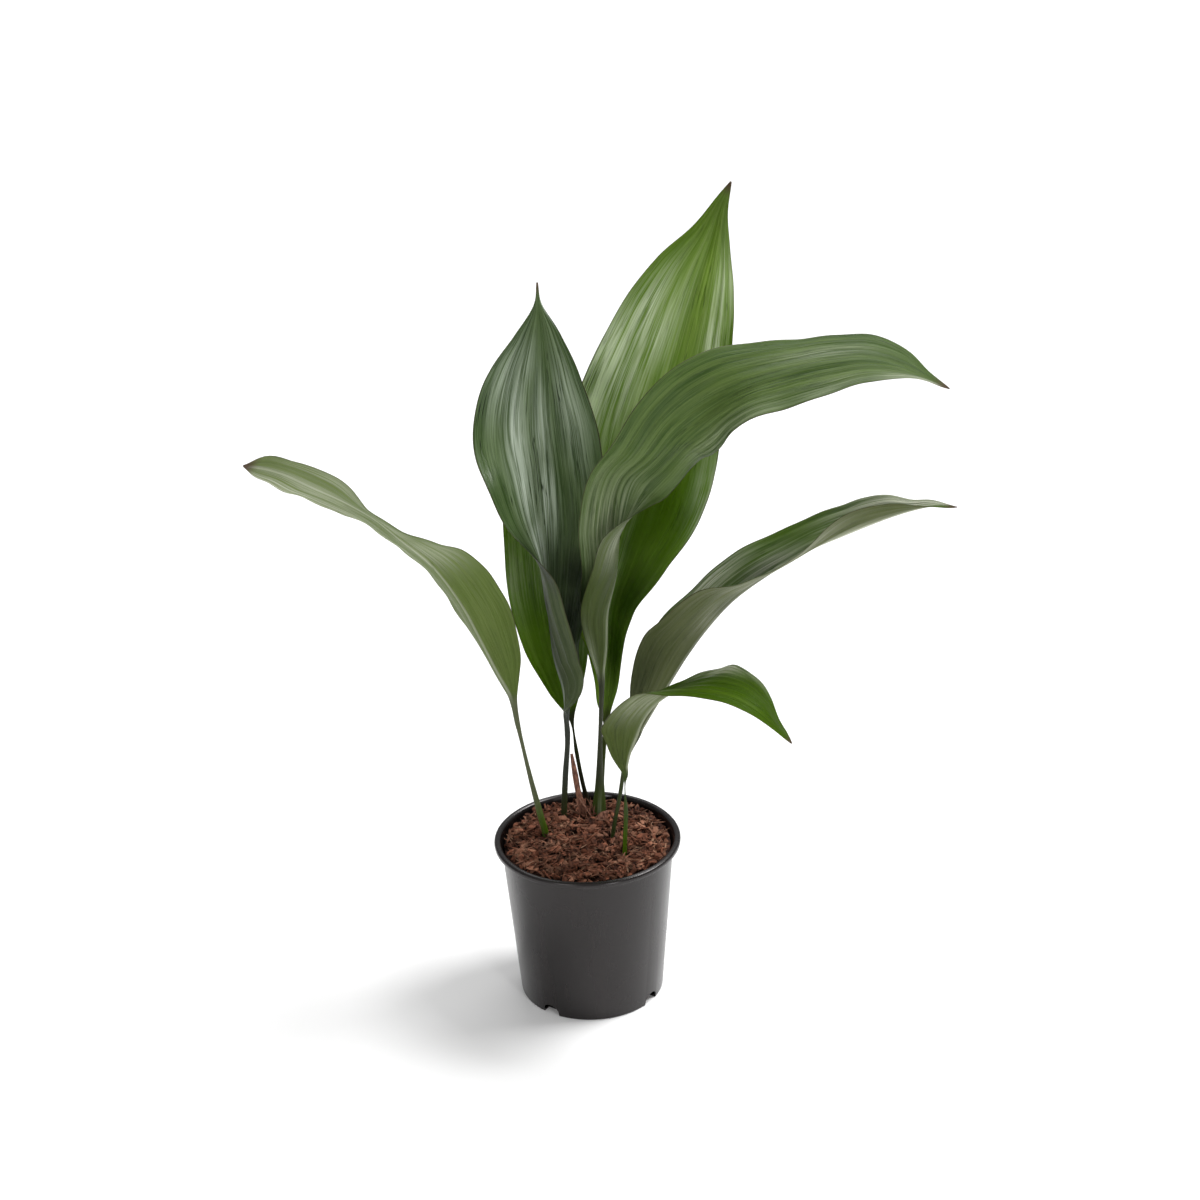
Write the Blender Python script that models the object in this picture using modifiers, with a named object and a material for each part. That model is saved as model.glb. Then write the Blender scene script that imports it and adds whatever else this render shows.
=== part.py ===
# Potted cast iron plant (Aspidistra elatior) in a 17 cm nursery pot.
# Origin: centre of the pot's foot, +Z up, -Y is the front. Metres in Blender, millimetres in the tables.
import bpy
import numpy as np
from math import cos, pi, radians, sin

mm = 0.001
gap = 0.35 * mm             # what touching pieces keep between them

# pot
potHeight = 157 * mm
lipRadius = 85.8 * mm       # outer edge of the rolled lip
lipDrop = 5.5 * mm
bodyTopRadius = 79 * mm     # wall just under the lip
footRadius = 66.6 * mm
potWall = 1.2 * mm
potFloor = 1.5 * mm
notchWidth = 17 * mm        # four drain notches where the wall meets the floor
notchHeight = 10 * mm
notchDepth = 9 * mm
notchAngles = (54, 144, 234, 324)   # degrees from the front, turning to the right
turnSteps = 48

# growing medium
soilEdge = 149.5 * mm       # height where it meets the wall
soilCrown = 150.5 * mm      # height in the middle
soilRadius = 77.3 * mm
soilBottom = potFloor + gap
soilBevel = 9 * mm          # the mix stays out of the corner that the notches drain

# creeping stem under the surface: the leaf stalks stand on it
stemRadius = 5 * mm
stemHeight = 122 * mm
stalkFoot = stemHeight + stemRadius + 0.3 * mm

# leaf blade
bladeHalf = 0.42 * mm       # half thickness of the blade
ribHalf = 0.55 * mm         # what the midrib adds to it underneath
stalkTop = 1.5 * mm         # half thickness of a stalk on its upper side, and underneath
stalkUnder = 2.3 * mm
bladeStations, bladeAcross = 30, 7
chipCount = 28

# One row per station from the foot of the stalk to the tip, in millimetres and degrees:
# x, y, z, half width, turn of the upper side, then fold at the midrib and curl towards the margin,
# left half first. low and high are the way the upper side faces at the foot and at the tip.
leaves = {
    "leaf_left_arching": dict(low=(.75, .65, 0), high=(.1, .85, .5), rows=(
        (-37, 14, 0, 4.6, 0, 0, 0, 0, 0), (-38, 14, 150, 4.6, 0, 0, 0, 0, 0),
        (-43, 13, 177, 4.1, 0, 0, 0, 0, 0), (-50, 11, 215, 2.5, 0, 0, 0, 0, 0),
        (-59, 8, 270, 2.6, 0, 5, 0, 5, 0), (-63, 5, 297, 5, 0, 20, 0, 20, 0),
        (-75, -2, 328, 23.4, 4, 38, 10, 34, 8), (-87, -10, 362, 33.1, 2, 30, 10, 30, 9),
        (-102, -25, 406, 39.6, -2, 19, 12, 25, 7), (-127, -45, 456, 40.7, -12, 12, 11, 16, 0),
        (-148, -60, 484, 39.7, -19, 4, 3, 6, 1), (-168, -75, 511, 38.2, -23, -9, -3, -1, -2),
        (-188, -88, 531, 36.1, -17, -12, -3, -1, 0), (-214, -105, 553, 31, -6, -3, 2, 5, 2),
        (-237, -117, 571, 22.2, -2, -2, 1, 5, 2), (-255, -126, 580, 10.4, 5, 9, 4, 4, 1),
        (-264, -130, 583, 1, 0, 0, 0, 0, 0))),
    "leaf_upright_dark": dict(low=(0, -1, 0), high=(0, -.95, .3), rows=(
        (-21, 47, 0, 2.9, 0, 0, 0, 0, 0), (-21, 47, 150, 2.9, 0, 0, 0, 0, 0),
        (-18.5, 51, 191, 2.7, 0, 0, 0, 0, 0), (-15, 54, 233, 2.8, 30, 5, 0, 5, 0),
        (-16, 53, 258, 5, 60, 20, 0, 20, 0), (-17, 52, 279, 19.9, 78, 55, 8, 33, 0),
        (-25, 53, 317, 32.6, 69, 41, 51, 29, 0), (-26, 56, 369, 42.9, 50, 13, 97, 21, 0),
        (-25, 61, 408, 51.4, 35, 18, 74, 17, 0), (-25, 68, 447, 57.8, 9, 27, 30, 22, 0),
        (-26, 78, 489, 61.7, -3, 23, 13, 29, 0), (-29, 90, 533, 59, -13, 9, 1, 21, 0),
        (-28, 102, 572, 45.1, -18, 7, 0, 22, 0), (-27, 112, 602, 22.9, -16, 3, -1, 15, 0),
        (-27, 122, 629, 3.1, -4, -1, -1, 3, 0), (-27, 130, 645, .8, 0, 0, 0, 0, 0))),
    "leaf_hidden_bright": dict(low=(0, -1, 0), high=(0, -.95, .3), rows=(
        (4, 61, 0, 2.2, 0, 0, 0, 0, 0), (4, 61, 145, 2.2, 0, 0, 0, 0, 0), (-2, 63, 174, 2, 0, 0, 0, 0, 0),
        (-7, 65, 207, 1.9, 0, 5, 0, 5, 0), (-11, 69, 244, 3, 0, 15, 0, 15, 0),
        (-16, 77, 271, 18, 4, 25, 10, 22, 5), (-22, 86, 309, 31, 6, 15, 10, 15, 5),
        (-28, 96, 356, 37, 4, 10, 5, 10, 5), (-31, 103, 403, 36, 0, 8, 5, 10, 5),
        (-34, 116, 447, 33, 0, 8, 0, 8, 0), (-38, 130, 491, 26, 0, 8, 0, 8, 0),
        (-40, 142, 525, 8, 0, 0, 0, 0, 0), (-41, 148, 542, .8, 0, 0, 0, 0, 0))),
    "leaf_tallest": dict(low=(0, -1, 0), high=(.1, -.9, .35), rows=(
        (14, 57, 0, 2.6, 0, 0, 0, 0, 0), (14, 57, 147, 2.6, 0, 0, 0, 0, 0),
        (17, 57, 209, 2.6, 0, 0, 0, 0, 0), (21, 59, 250, 4, 0, 20, 0, 20, 0),
        (20, 64, 269, 11.7, 15, 30, 10, 35, 0), (24, 79, 309, 20, 0, 12, 4, 48, 0),
        (27, 86, 355, 37.7, -10, 6, 4, 43, 0), (38, 92, 402, 53, -10, 10, 2, 26, 0),
        (50, 101, 446, 65.6, -2, 11, -1, 9, 0), (61, 110, 490, 70.7, -8, 9, -1, 13, 0),
        (74, 121, 532, 67.5, -11, 6, -2, 15, 0), (89, 135, 574, 60.2, -10, 6, -1, 16, 0),
        (102, 147, 610, 50.6, -10, 5, -1, 18, 0), (114, 158, 640, 37.4, -5, 6, 0, 16, 0),
        (128, 171, 670, 19.8, 7, 11, 2, 5, 0), (139, 182, 695, 8.1, 10, 6, 2, -4, 0),
        (149, 189, 714, .8, 0, 0, 0, 0, 0))),
    "leaf_broad_right": dict(low=(-1, -.1, 0), high=(0, -.3, .95), rows=(
        (12, 47, 0, 7, -90, 10, 0, 10, 0), (12, 47, 153, 7.2, -90, 20, 0, 20, 0),
        (13, 47, 178, 4.8, -85, 5, 0, 5, 0), (14, 47, 213, 3, -60, 0, 0, 0, 0),
        (16, 46, 256, 2.6, -30, 5, 0, 5, 0), (19, 45, 294, 4.8, -23, 26, 4, 51, 5),
        (23, 45, 324, 16.5, -16, 43, 14, 71, 28), (25, 43, 360, 25.6, 2, 47, 15, 65, 65),
        (34, 40, 402, 30.9, 26, 45, 9, 45, 120), (35, 34, 451, 33.6, 52, 36, 1, 17, 149),
        (45, 25, 498, 37.2, 78, 28, -4, -19, 84), (63, 15, 519, 41.4, 78, 28, -2, -26, 18),
        (86, 5, 552, 39.8, 58, 26, 2, -12, -2), (118, -4, 579, 40.4, 26, 17, 0, -1, 0),
        (143, -12, 594, 44.7, 8, 3, 0, 2, 0), (181, -22, 609, 45.4, 1, -6, 0, -2, 0),
        (216, -31, 619, 41.7, 0, -7, 0, -3, 0), (247, -40, 623, 34, -2, -3, 0, 1, 0),
        (273, -48, 618, 22.7, -4, 2, 1, 7, 1), (293, -54, 610, 8.8, -8, 3, 0, 11, 0),
        (311, -58, 601, .8, 0, 0, 0, 0, 0))),
    "leaf_trough_right": dict(low=(-1, .1, 0), high=(-.1, -.1, 1), rows=(
        (22, 1, 0, 3.8, 0, 0, 0, 0, 0), (22.5, 1, 150, 3.8, 0, 0, 0, 0, 0),
        (30.5, 1, 197, 3.4, 0, 0, 0, 0, 0), (39, 1, 239, 3.4, 0, 5, 0, 5, 0),
        (51, 0, 262, 6.5, -7, 28, 0, 35, 2), (64, -1, 286, 24.7, -11, 61, 5, 69, 7),
        (77, -3, 310, 36, -10, 66, 6, 73, 8), (93, -8, 340, 43.1, -14, 58, 3, 69, 8),
        (110, -14, 368, 43.8, -14, 47, 0, 56, 0), (133, -22, 399, 44.8, -10, 32, 5, 44, 3),
        (157, -30, 422, 42.8, -7, 26, 6, 26, 3), (182, -38, 442, 39.5, -6, 22, 6, 17, 2),
        (202, -45, 457, 35.3, -1, 19, 4, 25, -1), (226, -53, 471, 31.2, 0, 23, 6, 48, 1),
        (246, -59, 482, 26.8, 0, 31, 8, 59, 3), (265, -65, 492, 20.5, -2, 33, 9, 55, 5),
        (281, -70, 499, 12.5, -10, 21, 3, 41, 6), (297, -75, 504, 7.1, -3, 19, 2, 22, 3),
        (317, -79, 504, .8, 0, 0, 0, 0, 0))),
    "leaf_low_front": dict(low=(-.9, .3, 0), high=(.1, -.15, .98), rows=(
        (33, -25, 0, 2.9, 0, 0, 0, 0, 0), (33, -25, 150, 2.9, 0, 0, 0, 0, 0),
        (35, -29, 194, 2.8, 0, 0, 0, 0, 0), (36, -33, 237, 3.1, 6, 33, 0, 26, 0),
        (40, -38, 260, 17.6, 6, 70, 0, 64, 0), (46, -47, 281, 31, -9, 44, 0, 56, 0),
        (52, -57, 303, 36.4, -10, 18, 0, 39, 0), (64, -69, 326, 36.3, -8, 1, 0, 34, 0),
        (80, -83, 344, 37.2, -6, -5, 0, 28, 0), (97, -97, 356, 35.9, -1, -7, 0, 18, 0),
        (115, -110, 363, 33.4, 3, -5, 0, 14, 0), (135, -122, 363, 28.5, -2, -11, 0, 3, 0),
        (151, -132, 354, 20.2, -7, -14, 0, -2, 0), (163, -139, 337, 9.9, -10, -11, 0, -1, 0),
        (174, -144, 322, .8, 0, 0, 0, 0, 0))),
}

# Dried scales that once wrapped the young leaves. Same columns; they stand on the medium.
sheaths = {
    "dry_sheath_tall": dict(low=(0, 1, 0), high=(0, 1, 0), rows=(
        (-2, 47, 0, 7, 0, 20, 40, 20, 40), (-3.5, 48, 158, 4.6, 0, 20, 40, 20, 40),
        (-7, 51, 174, 3, 0, 15, 30, 15, 30), (-9.5, 54, 193, 2.6, 0, 10, 10, 10, 10),
        (-12, 57, 212, 1.2, 0, 10, 10, 10, 10))),
    "dry_sheath_low": dict(low=(0, 1, 0), high=(0, 1, 0), rows=(
        (13, 30, 0, 7.5, 0, 15, 35, 15, 35), (13.5, 31, 154, 7, 0, 15, 35, 15, 35),
        (16, 32.5, 159, 4.5, 0, 10, 25, 10, 25), (20, 34, 163, .9, 0, 0, 0, 0, 0))),
}

# the creeping stem's own bends, x and y, under the seven stalks in turn
stemPath = ((-45, 2), (-37, 14), (-31, 31), (-21, 47), (-9, 58), (4, 61), (12, 53), (18, 32), (22, 1),
            (33, -25), (36, -36))
# where roots leave the stem, where each ends, and how thick it is
roots = (((-37, 14), (-52, -18, 40), 1.5), ((-21, 47), (-30, 30, 28), 1.4), ((4, 61), (10, 30, 22), 1.6),
         ((12, 53), (40, 38, 45), 1.3), ((22, 1), (-4, -22, 24), 1.6), ((33, -25), (28, -50, 38), 1.4),
         ((33, -25), (56, -8, 60), 1.2))


def clearScene():
    for obj in list(bpy.data.objects):
        bpy.data.objects.remove(obj, do_unlink=True)


def makeMaterial(name, colour, roughness):
    material = bpy.data.materials.new(name)
    material.use_nodes = True
    shader = material.node_tree.nodes["Principled BSDF"]
    shader.inputs["Base Color"].default_value = (*colour, 1)
    shader.inputs["Roughness"].default_value = roughness
    material.diffuse_color = (*colour, 1)
    return material


def makeObject(name, mesh, collection, material=None, smooth=True):
    obj = bpy.data.objects.new(name, mesh)
    collection.objects.link(obj)
    if material:
        mesh.materials.append(material)
    if smooth:
        mesh.shade_smooth()
        mesh.set_sharp_from_angle(angle=radians(40))
    return obj


def hideCutter(obj):
    obj.hide_render = True
    obj.display_type = "WIRE"


def throughKnots(rows, count):
    # Hermite curve through rows, evenly spaced along the chords of their first three columns;
    # each inner slope is the distance-weighted mean of the two chords that meet there
    rows = np.asarray(rows, float)
    chord = np.linalg.norm(np.diff(rows[:, :3], axis=0), axis=1)
    along = np.concatenate(([0], np.cumsum(chord)))
    rise = np.diff(rows, axis=0) / chord[:, None]
    slope = np.empty_like(rows)
    slope[0], slope[-1] = rise[0], rise[-1]
    before, after = chord[:-1, None], chord[1:, None]
    slope[1:-1] = (rise[:-1] * after + rise[1:] * before) / (before + after)
    at = np.linspace(0, along[-1], count)
    i = np.clip(np.searchsorted(along, at, side="right") - 1, 0, len(chord) - 1)
    step = chord[i][:, None]
    u = (at - along[i])[:, None] / step
    return ((2 * u**3 - 3 * u**2 + 1) * rows[i] + (u**3 - 2 * u**2 + u) * step * slope[i]
            + (3 * u**2 - 2 * u**3) * rows[i + 1] + (u**3 - u**2) * step * slope[i + 1])


def smoothStep(low, high, value):
    t = np.clip((value - low) / (high - low), 0, 1)
    return t * t * (3 - 2 * t)


def leafSurfaces(shape, rows, stations, across, thin=False, grow=0):
    # Upper and lower grids of a leaf. In each cross-section a half turns by its fold at the midrib and by
    # its curl on the way to the margin: the offset is the integral of (cos, sin) of that angle.
    line = throughKnots(rows, stations)
    spine = line[:, :3] * mm
    tangent = np.gradient(spine, axis=0)
    tangent /= np.linalg.norm(tangent, axis=1, keepdims=True)
    share = np.linspace(0, 1, stations)[:, None]
    face = np.asarray(shape["low"]) * (1 - share) + np.asarray(shape["high"]) * share
    normal = face - (tangent * face).sum(1, keepdims=True) * tangent
    normal /= np.linalg.norm(normal, axis=1, keepdims=True)
    turn = np.radians(line[:, 4])[:, None]
    normal = normal * np.cos(turn) + np.cross(tangent, normal) * np.sin(turn)
    side = np.cross(tangent, normal)

    v = np.linspace(-1, 1, across)
    half = np.maximum(line[:, 3], 0.6)[:, None] * mm
    fold = np.radians(np.where(v < 0, line[:, 5:6], line[:, 7:8]))
    curl = np.radians(np.where(v < 0, line[:, 6:7], line[:, 8:9]))
    curl = np.where(abs(curl) < 1e-4, 1e-4, curl)
    reach, hand = abs(v), np.sign(v)
    angle = fold + curl * reach
    out = half * hand * (np.sin(angle) - np.sin(fold)) / curl
    lift = half * (np.cos(fold) - np.cos(angle)) / curl
    middle = (spine[:, None] + out[..., None] * side[:, None] + lift[..., None] * normal[:, None])
    angle = np.where(v == 0, 0, angle)
    upward = (np.cos(angle)[..., None] * normal[:, None]
              - (hand * np.sin(angle))[..., None] * side[:, None])

    # a stalk is a rod rounded underneath; it thins to the blade and its midrib as the leaf widens
    rod = 1 - smoothStep(3.4 * mm, 9 * mm, half)
    round_ = np.sqrt(np.maximum(1 - v**2, 0.02))
    rib = ribHalf * np.exp(-(half * v / (3 * mm))**2)
    scale = np.minimum(half / (2.6 * mm), 1)
    above = (rod * stalkTop * round_ * scale + (1 - rod) * bladeHalf) if not thin else 0.4 * mm
    below = (rod * stalkUnder * round_ * scale + (1 - rod) * (bladeHalf + rib)) if not thin else 0.4 * mm
    fade = smoothStep(1, 0.9, share)
    above = (above * (0.4 + 0.6 * fade) + grow) * np.ones_like(out)
    below = (below * (0.4 + 0.6 * fade) + grow) * np.ones_like(out)
    if grow:
        middle = middle + (hand * grow)[None, :, None] * side[:, None]
    return middle + above[..., None] * upward, middle - below[..., None] * upward


def loftMesh(name, upper, lower):
    # skin around the two grids: each ring runs out over the top and back underneath, ends capped.
    # Each quad is split along the same diagonal on both sides of the blade, so a twisted blade
    # keeps its thickness.
    rings = np.concatenate((upper, lower[:, ::-1]), axis=1)
    count, size = rings.shape[:2]
    index = np.arange(count * size).reshape(count, size)
    right = np.roll(index, -1, axis=1)
    over = slice(0, size // 2)
    under = slice(size // 2, size)
    near, nearRight, far, farRight = index[:-1], right[:-1], index[1:], right[1:]
    corners = ((near[:, over], nearRight[:, over], farRight[:, over]),
               (near[:, over], farRight[:, over], far[:, over]),
               (near[:, under], nearRight[:, under], far[:, under]),
               (nearRight[:, under], farRight[:, under], far[:, under]))
    faces = [triangle for three in corners for triangle in np.stack(three, axis=-1).reshape(-1, 3).tolist()]
    caps = [index[0][::-1].tolist(), index[-1].tolist()]
    mesh = bpy.data.meshes.new(name)
    mesh.from_pydata(rings.reshape(-1, 3).tolist(), [], faces + caps)
    mesh.validate()
    return mesh


def seatRows(rows, height):
    # the table's first row takes the height of what the stalk stands on
    first = rows[0][:2] + (height / mm,) + rows[0][3:]
    return (first,) + rows[1:]


def turnedPiece(name, profile, collection, material=None):
    # profile of radius and height, swept round Z by a Screw modifier
    mesh = bpy.data.meshes.new(name)
    points = [(r, 0, z) for r, z in profile]
    mesh.from_pydata(points, [(i, i + 1) for i in range(len(points) - 1)], [])
    obj = makeObject(name, mesh, collection, material, smooth=False)
    screw = obj.modifiers.new("Turn", "SCREW")
    screw.steps = screw.render_steps = turnSteps
    screw.use_merge_vertices = True
    screw.merge_threshold = 0.00005
    screw.use_smooth_shade = True
    return obj


def cutFrom(obj, cutter):
    boolean = obj.modifiers.new("Cut " + cutter.name, "BOOLEAN")
    boolean.operation = "DIFFERENCE"
    boolean.solver = "EXACT"
    boolean.object = cutter


def joinTo(obj, other):
    boolean = obj.modifiers.new("Join " + other.name, "BOOLEAN")
    boolean.operation = "UNION"
    boolean.solver = "EXACT"
    boolean.object = other


def tubeMesh(name, points, radii, sides=10):
    # round tube through points with a radius at each, closed by a flat disc at both ends
    points, radii = np.asarray(points, float), np.asarray(radii, float)
    tangent = np.gradient(points, axis=0)
    tangent /= np.linalg.norm(tangent, axis=1, keepdims=True)
    first = np.empty_like(points)
    carried = np.cross(tangent[0], np.eye(3)[abs(tangent[0]).argmin()])
    for i, t in enumerate(tangent):     # carried along with no twist
        carried = carried - t * (carried @ t)
        carried /= np.linalg.norm(carried)
        first[i] = carried
    second = np.cross(tangent, first)
    a = np.arange(sides) * 2 * pi / sides
    rings = (points[:, None] + radii[:, None, None]
             * (np.cos(a)[None, :, None] * first[:, None] + np.sin(a)[None, :, None] * second[:, None]))
    index = np.arange(len(points) * sides).reshape(len(points), sides)
    right = np.roll(index, -1, axis=1)
    quads = np.stack((index[:-1], right[:-1], right[1:], index[1:]), axis=-1).reshape(-1, 4)
    mesh = bpy.data.meshes.new(name)
    mesh.from_pydata(rings.reshape(-1, 3).tolist(), [],
                     quads.tolist() + [index[0][::-1].tolist(), index[-1].tolist()])
    return mesh


def soilHeight(x, y):
    # the medium's top: a shallow dome, crown - (crown - edge) * (r / wall radius) squared
    return soilCrown - (soilCrown - soilEdge) * (x * x + y * y) / soilRadius**2


def buildPot(parts, cutters):
    slope = (bodyTopRadius - footRadius) / (potHeight - lipDrop)

    def wallAt(z):
        return footRadius + slope * z

    top, lip = potHeight, lipRadius
    profile = (
        (0, potFloor), (footRadius - notchDepth, potFloor),
        (wallAt(potFloor) - potWall - 0.8 * mm, potFloor), (wallAt(4 * mm) - potWall, 4 * mm),
        (wallAt(top - 9 * mm) - potWall, top - 9 * mm), (bodyTopRadius + 0.2 * mm, top - 2.5 * mm),
        (lip - 5.5 * mm, top - 0.6 * mm), (lip - 4 * mm, top), (lip - 1.4 * mm, top - 0.6 * mm),
        (lip, top - 2.4 * mm), (lip - 0.3 * mm, top - lipDrop + 1 * mm), (lip - 1.2 * mm, top - lipDrop),
        (lip - 2.2 * mm, top - lipDrop + 0.7 * mm), (lip - 3 * mm, top - 2.4 * mm),
        (bodyTopRadius + 1.8 * mm, top - 2.8 * mm), (bodyTopRadius + 0.5 * mm, top - lipDrop),
        (wallAt(top - 10 * mm), top - 10 * mm), (wallAt(5 * mm), 5 * mm),
        (wallAt(0) - 0.3 * mm, 0.9 * mm), (wallAt(0) - 1.2 * mm, 0), (0, 0))
    pot = turnedPiece("nursery_pot", profile, parts, makeMaterial("Black plastic", (.035, .034, .034), .38))
    for number, angle in enumerate(notchAngles, 1):
        a = radians(angle)
        bpy.ops.mesh.primitive_cube_add(size=1)
        notch = bpy.context.object
        notch.name = "notch_cutter_%d" % number
        reach = notchDepth + 6 * mm
        middle = footRadius - notchDepth + reach / 2
        for v in notch.data.vertices:       # an arch: the top corners are drawn in
            narrow = 0.72 if v.co.z > 0 else 1
            rise = (v.co.z + 0.5) * (notchHeight + 2 * mm) - 2 * mm
            v.co = (v.co.x * notchWidth * narrow, v.co.y * reach, rise)
        notch.rotation_euler.z = a
        notch.location = (sin(a) * middle, -cos(a) * middle, 0)
        for c in list(notch.users_collection):
            c.objects.unlink(notch)
        cutters.objects.link(notch)
        hideCutter(notch)
        cutFrom(pot, notch)
    return pot


def stemPoints(count):
    path = [(x * mm, y * mm, stemHeight) for x, y in stemPath]
    return throughKnots(path, count)


def stemRadii(points, grow=0):
    # swollen at the joints, about 12 mm apart, and rounded off at both ends
    run = np.concatenate(([0], np.cumsum(np.linalg.norm(np.diff(points, axis=0), axis=1))))
    ends = np.sqrt(np.clip(np.minimum(run, run[-1] - run) / (5 * mm), 0.15, 1))
    return stemRadius * (0.94 + 0.06 * np.cos(run * 2 * pi / (12 * mm))) * ends + grow


def rootPoints(start, end, count=9):
    # leaves the stem sideways, then sinks: height falls with the square root of the way out
    t = np.linspace(0, 1, count)[:, None]
    a, b = np.array((*start, stemHeight / mm)), np.array(end, float)
    line = a + (b - a) * np.concatenate((t**1.3, t**1.3, t**0.8), axis=1)
    line[:, 0:1] += 4 * np.sin(t * 7 + end[0])
    line[:, 1:2] += 4 * np.sin(t * 6 + end[1]) * t
    line[:, 0] -= line[0, 0] - start[0]
    return line * mm


def buildRootstock(parts, cutters, material):
    points = stemPoints(40)
    stock = makeObject("rhizome", tubeMesh("rhizome", points, stemRadii(points)), parts, material)
    wider = points.copy()
    wider[0] += (points[0] - points[1]) / np.linalg.norm(points[0] - points[1]) * gap
    wider[-1] += (points[-1] - points[-2]) / np.linalg.norm(points[-1] - points[-2]) * gap
    hole = makeObject("rhizome_cutter", tubeMesh("rhizome_cutter", wider, stemRadii(points, gap)), cutters)
    hideCutter(hole)
    holes = [hole]
    for number, (start, end, thick) in enumerate(roots, 1):
        line = rootPoints(start, end)
        radii = thick * mm * np.linspace(1, 0.4, len(line))
        root = makeObject("root_%d" % number, tubeMesh("root_%d" % number, line, radii, 7), cutters)
        hideCutter(root)
        joinTo(stock, root)
        longer = line.copy()
        longer[-1] += (line[-1] - line[-2]) / np.linalg.norm(line[-1] - line[-2]) * gap
        wide = tubeMesh("root_cutter_%d" % number, longer, radii + 1.3 * gap, 7)
        hole = makeObject("root_cutter_%d" % number, wide, cutters)
        hideCutter(hole)
        holes.append(hole)
    return stock, holes


def buildMedium(parts, cutters, holes):
    wall = (bodyTopRadius - footRadius) / (potHeight - lipDrop)
    clear = potWall + gap

    def edge(z):
        return footRadius + wall * z - clear

    rings = 5
    top = [(i / rings * edge(soilEdge), soilHeight(i / rings * edge(soilEdge), 0)) for i in range(rings + 1)]
    profile = top + [(edge(soilBottom + soilBevel), soilBottom + soilBevel),
                     (edge(soilBottom) - soilBevel, soilBottom), (0, soilBottom)]
    soil = turnedPiece("potting_mix", profile, parts, makeMaterial("Bark potting mix", (.12, .06, .04), .9))
    for hole in holes:
        cutFrom(soil, hole)
    return soil


def buildLeaf(name, shape, parts, cutters, colour):
    rows = seatRows(shape["rows"], stalkFoot)
    upper, lower = leafSurfaces(shape, rows, bladeStations, bladeAcross)
    leaf = makeObject(name, loftMesh(name, upper, lower), parts, makeMaterial(name, colour, .35))
    # the stalk's socket in the medium: the same rod a little larger, from the stem to above the surface
    socketUp, socketLow = leafSurfaces(shape, rows, bladeStations, bladeAcross, grow=gap)
    aboveMix = soilCrown / mm + 15
    buried = (throughKnots(rows, bladeStations)[:, 2] < aboveMix).sum() + 1
    socketUp, socketLow = socketUp[:buried], socketLow[:buried]
    socketUp[0, :, 2] -= 1.2 * mm
    socketLow[0, :, 2] -= 1.2 * mm
    socket = makeObject(name + "_socket", loftMesh(name + "_socket", socketUp, socketLow), cutters)
    hideCutter(socket)
    return socket


def buildSheath(name, shape, parts, material):
    x, y = shape["rows"][0][:2]
    rows = seatRows(shape["rows"], soilHeight(x * mm, y * mm) + gap)
    upper, lower = leafSurfaces(shape, rows, 7, bladeAcross, thin=True)
    # its foot follows the dome it stands on
    for grid in (upper, lower):
        grid[0, :, 2] = soilHeight(grid[0, :, 0], grid[0, :, 1]) + gap
    return makeObject(name, loftMesh(name, upper, lower), parts, material)


def buildChips(parts, taken):
    # bark chips lying on the medium: flat tapered blocks, each clear of the stalks and of one another
    chance = np.random.default_rng(11)
    material = makeMaterial("Bark chip", (.17, .08, .055), .85)
    placed = []
    number = 0
    while number < chipCount:
        length, width, thick = chance.uniform((11, 6, 1.6), (19, 10, 2.8)) * mm
        radius, around, heading = chance.uniform((6, 0, 0), (65, 2 * pi, pi))
        x, y = radius * mm * cos(around), radius * mm * sin(around)
        reach = length * 0.56
        if any((x - px)**2 + (y - py)**2 < (reach + r)**2 for px, py, r in taken + placed):
            continue
        placed.append((x, y, reach))
        number += 1
        bpy.ops.mesh.primitive_cube_add(size=1)
        chip = bpy.context.object
        chip.name = chip.data.name = "bark_chip_%02d" % number
        tilt = chance.uniform(0.6, 0.95, 4)
        ca, sa = cos(heading), sin(heading)
        lift = soilHeight(x, y) + gap + 0.12 * mm
        for v, narrow in zip(chip.data.vertices, np.tile(tilt, 2)):
            px, py = v.co.x * length, v.co.y * width * narrow
            wx, wy = x + px * ca - py * sa, y + px * sa + py * ca
            high = v.co.z > 0
            v.co = (wx, wy, max(soilHeight(wx, wy) + gap, lift) + (thick * narrow if high else 0))
        for c in list(chip.users_collection):
            c.objects.unlink(chip)
        parts.objects.link(chip)
        chip.data.materials.append(material)
        bevel = chip.modifiers.new("Worn edges", "BEVEL")
        bevel.width = 0.4 * mm
        bevel.segments = 1


def main():
    clearScene()
    parts = bpy.data.collections.new("Potted cast iron plant")
    cutters = bpy.data.collections.new("Cutters")
    bpy.context.scene.collection.children.link(parts)
    bpy.context.scene.collection.children.link(cutters)

    buildPot(parts, cutters)
    flesh = makeMaterial("Rhizome", (.25, .17, .09), .7)
    stock, holes = buildRootstock(parts, cutters, flesh)
    colours = {"leaf_left_arching": (.10, .15, .05), "leaf_upright_dark": (.03, .09, .03),
               "leaf_hidden_bright": (.07, .19, .02), "leaf_tallest": (.08, .17, .03),
               "leaf_broad_right": (.06, .13, .03), "leaf_trough_right": (.05, .13, .03),
               "leaf_low_front": (.06, .17, .02)}
    for name, shape in leaves.items():
        holes.append(buildLeaf(name, shape, parts, cutters, colours[name]))
    dry = makeMaterial("Dry sheath", (.30, .16, .10), .8)
    for name, shape in sheaths.items():
        buildSheath(name, shape, parts, dry)
    buildMedium(parts, cutters, holes)

    # keep the chips off every stalk and sheath foot
    taken = [(s["rows"][1][0] * mm, s["rows"][1][1] * mm, (s["rows"][1][3] + 1.5) * mm) for s in leaves.values()]
    taken += [(s["rows"][0][0] * mm, s["rows"][0][1] * mm, 9.5 * mm) for s in sheaths.values()]
    buildChips(parts, taken)


main()
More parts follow.
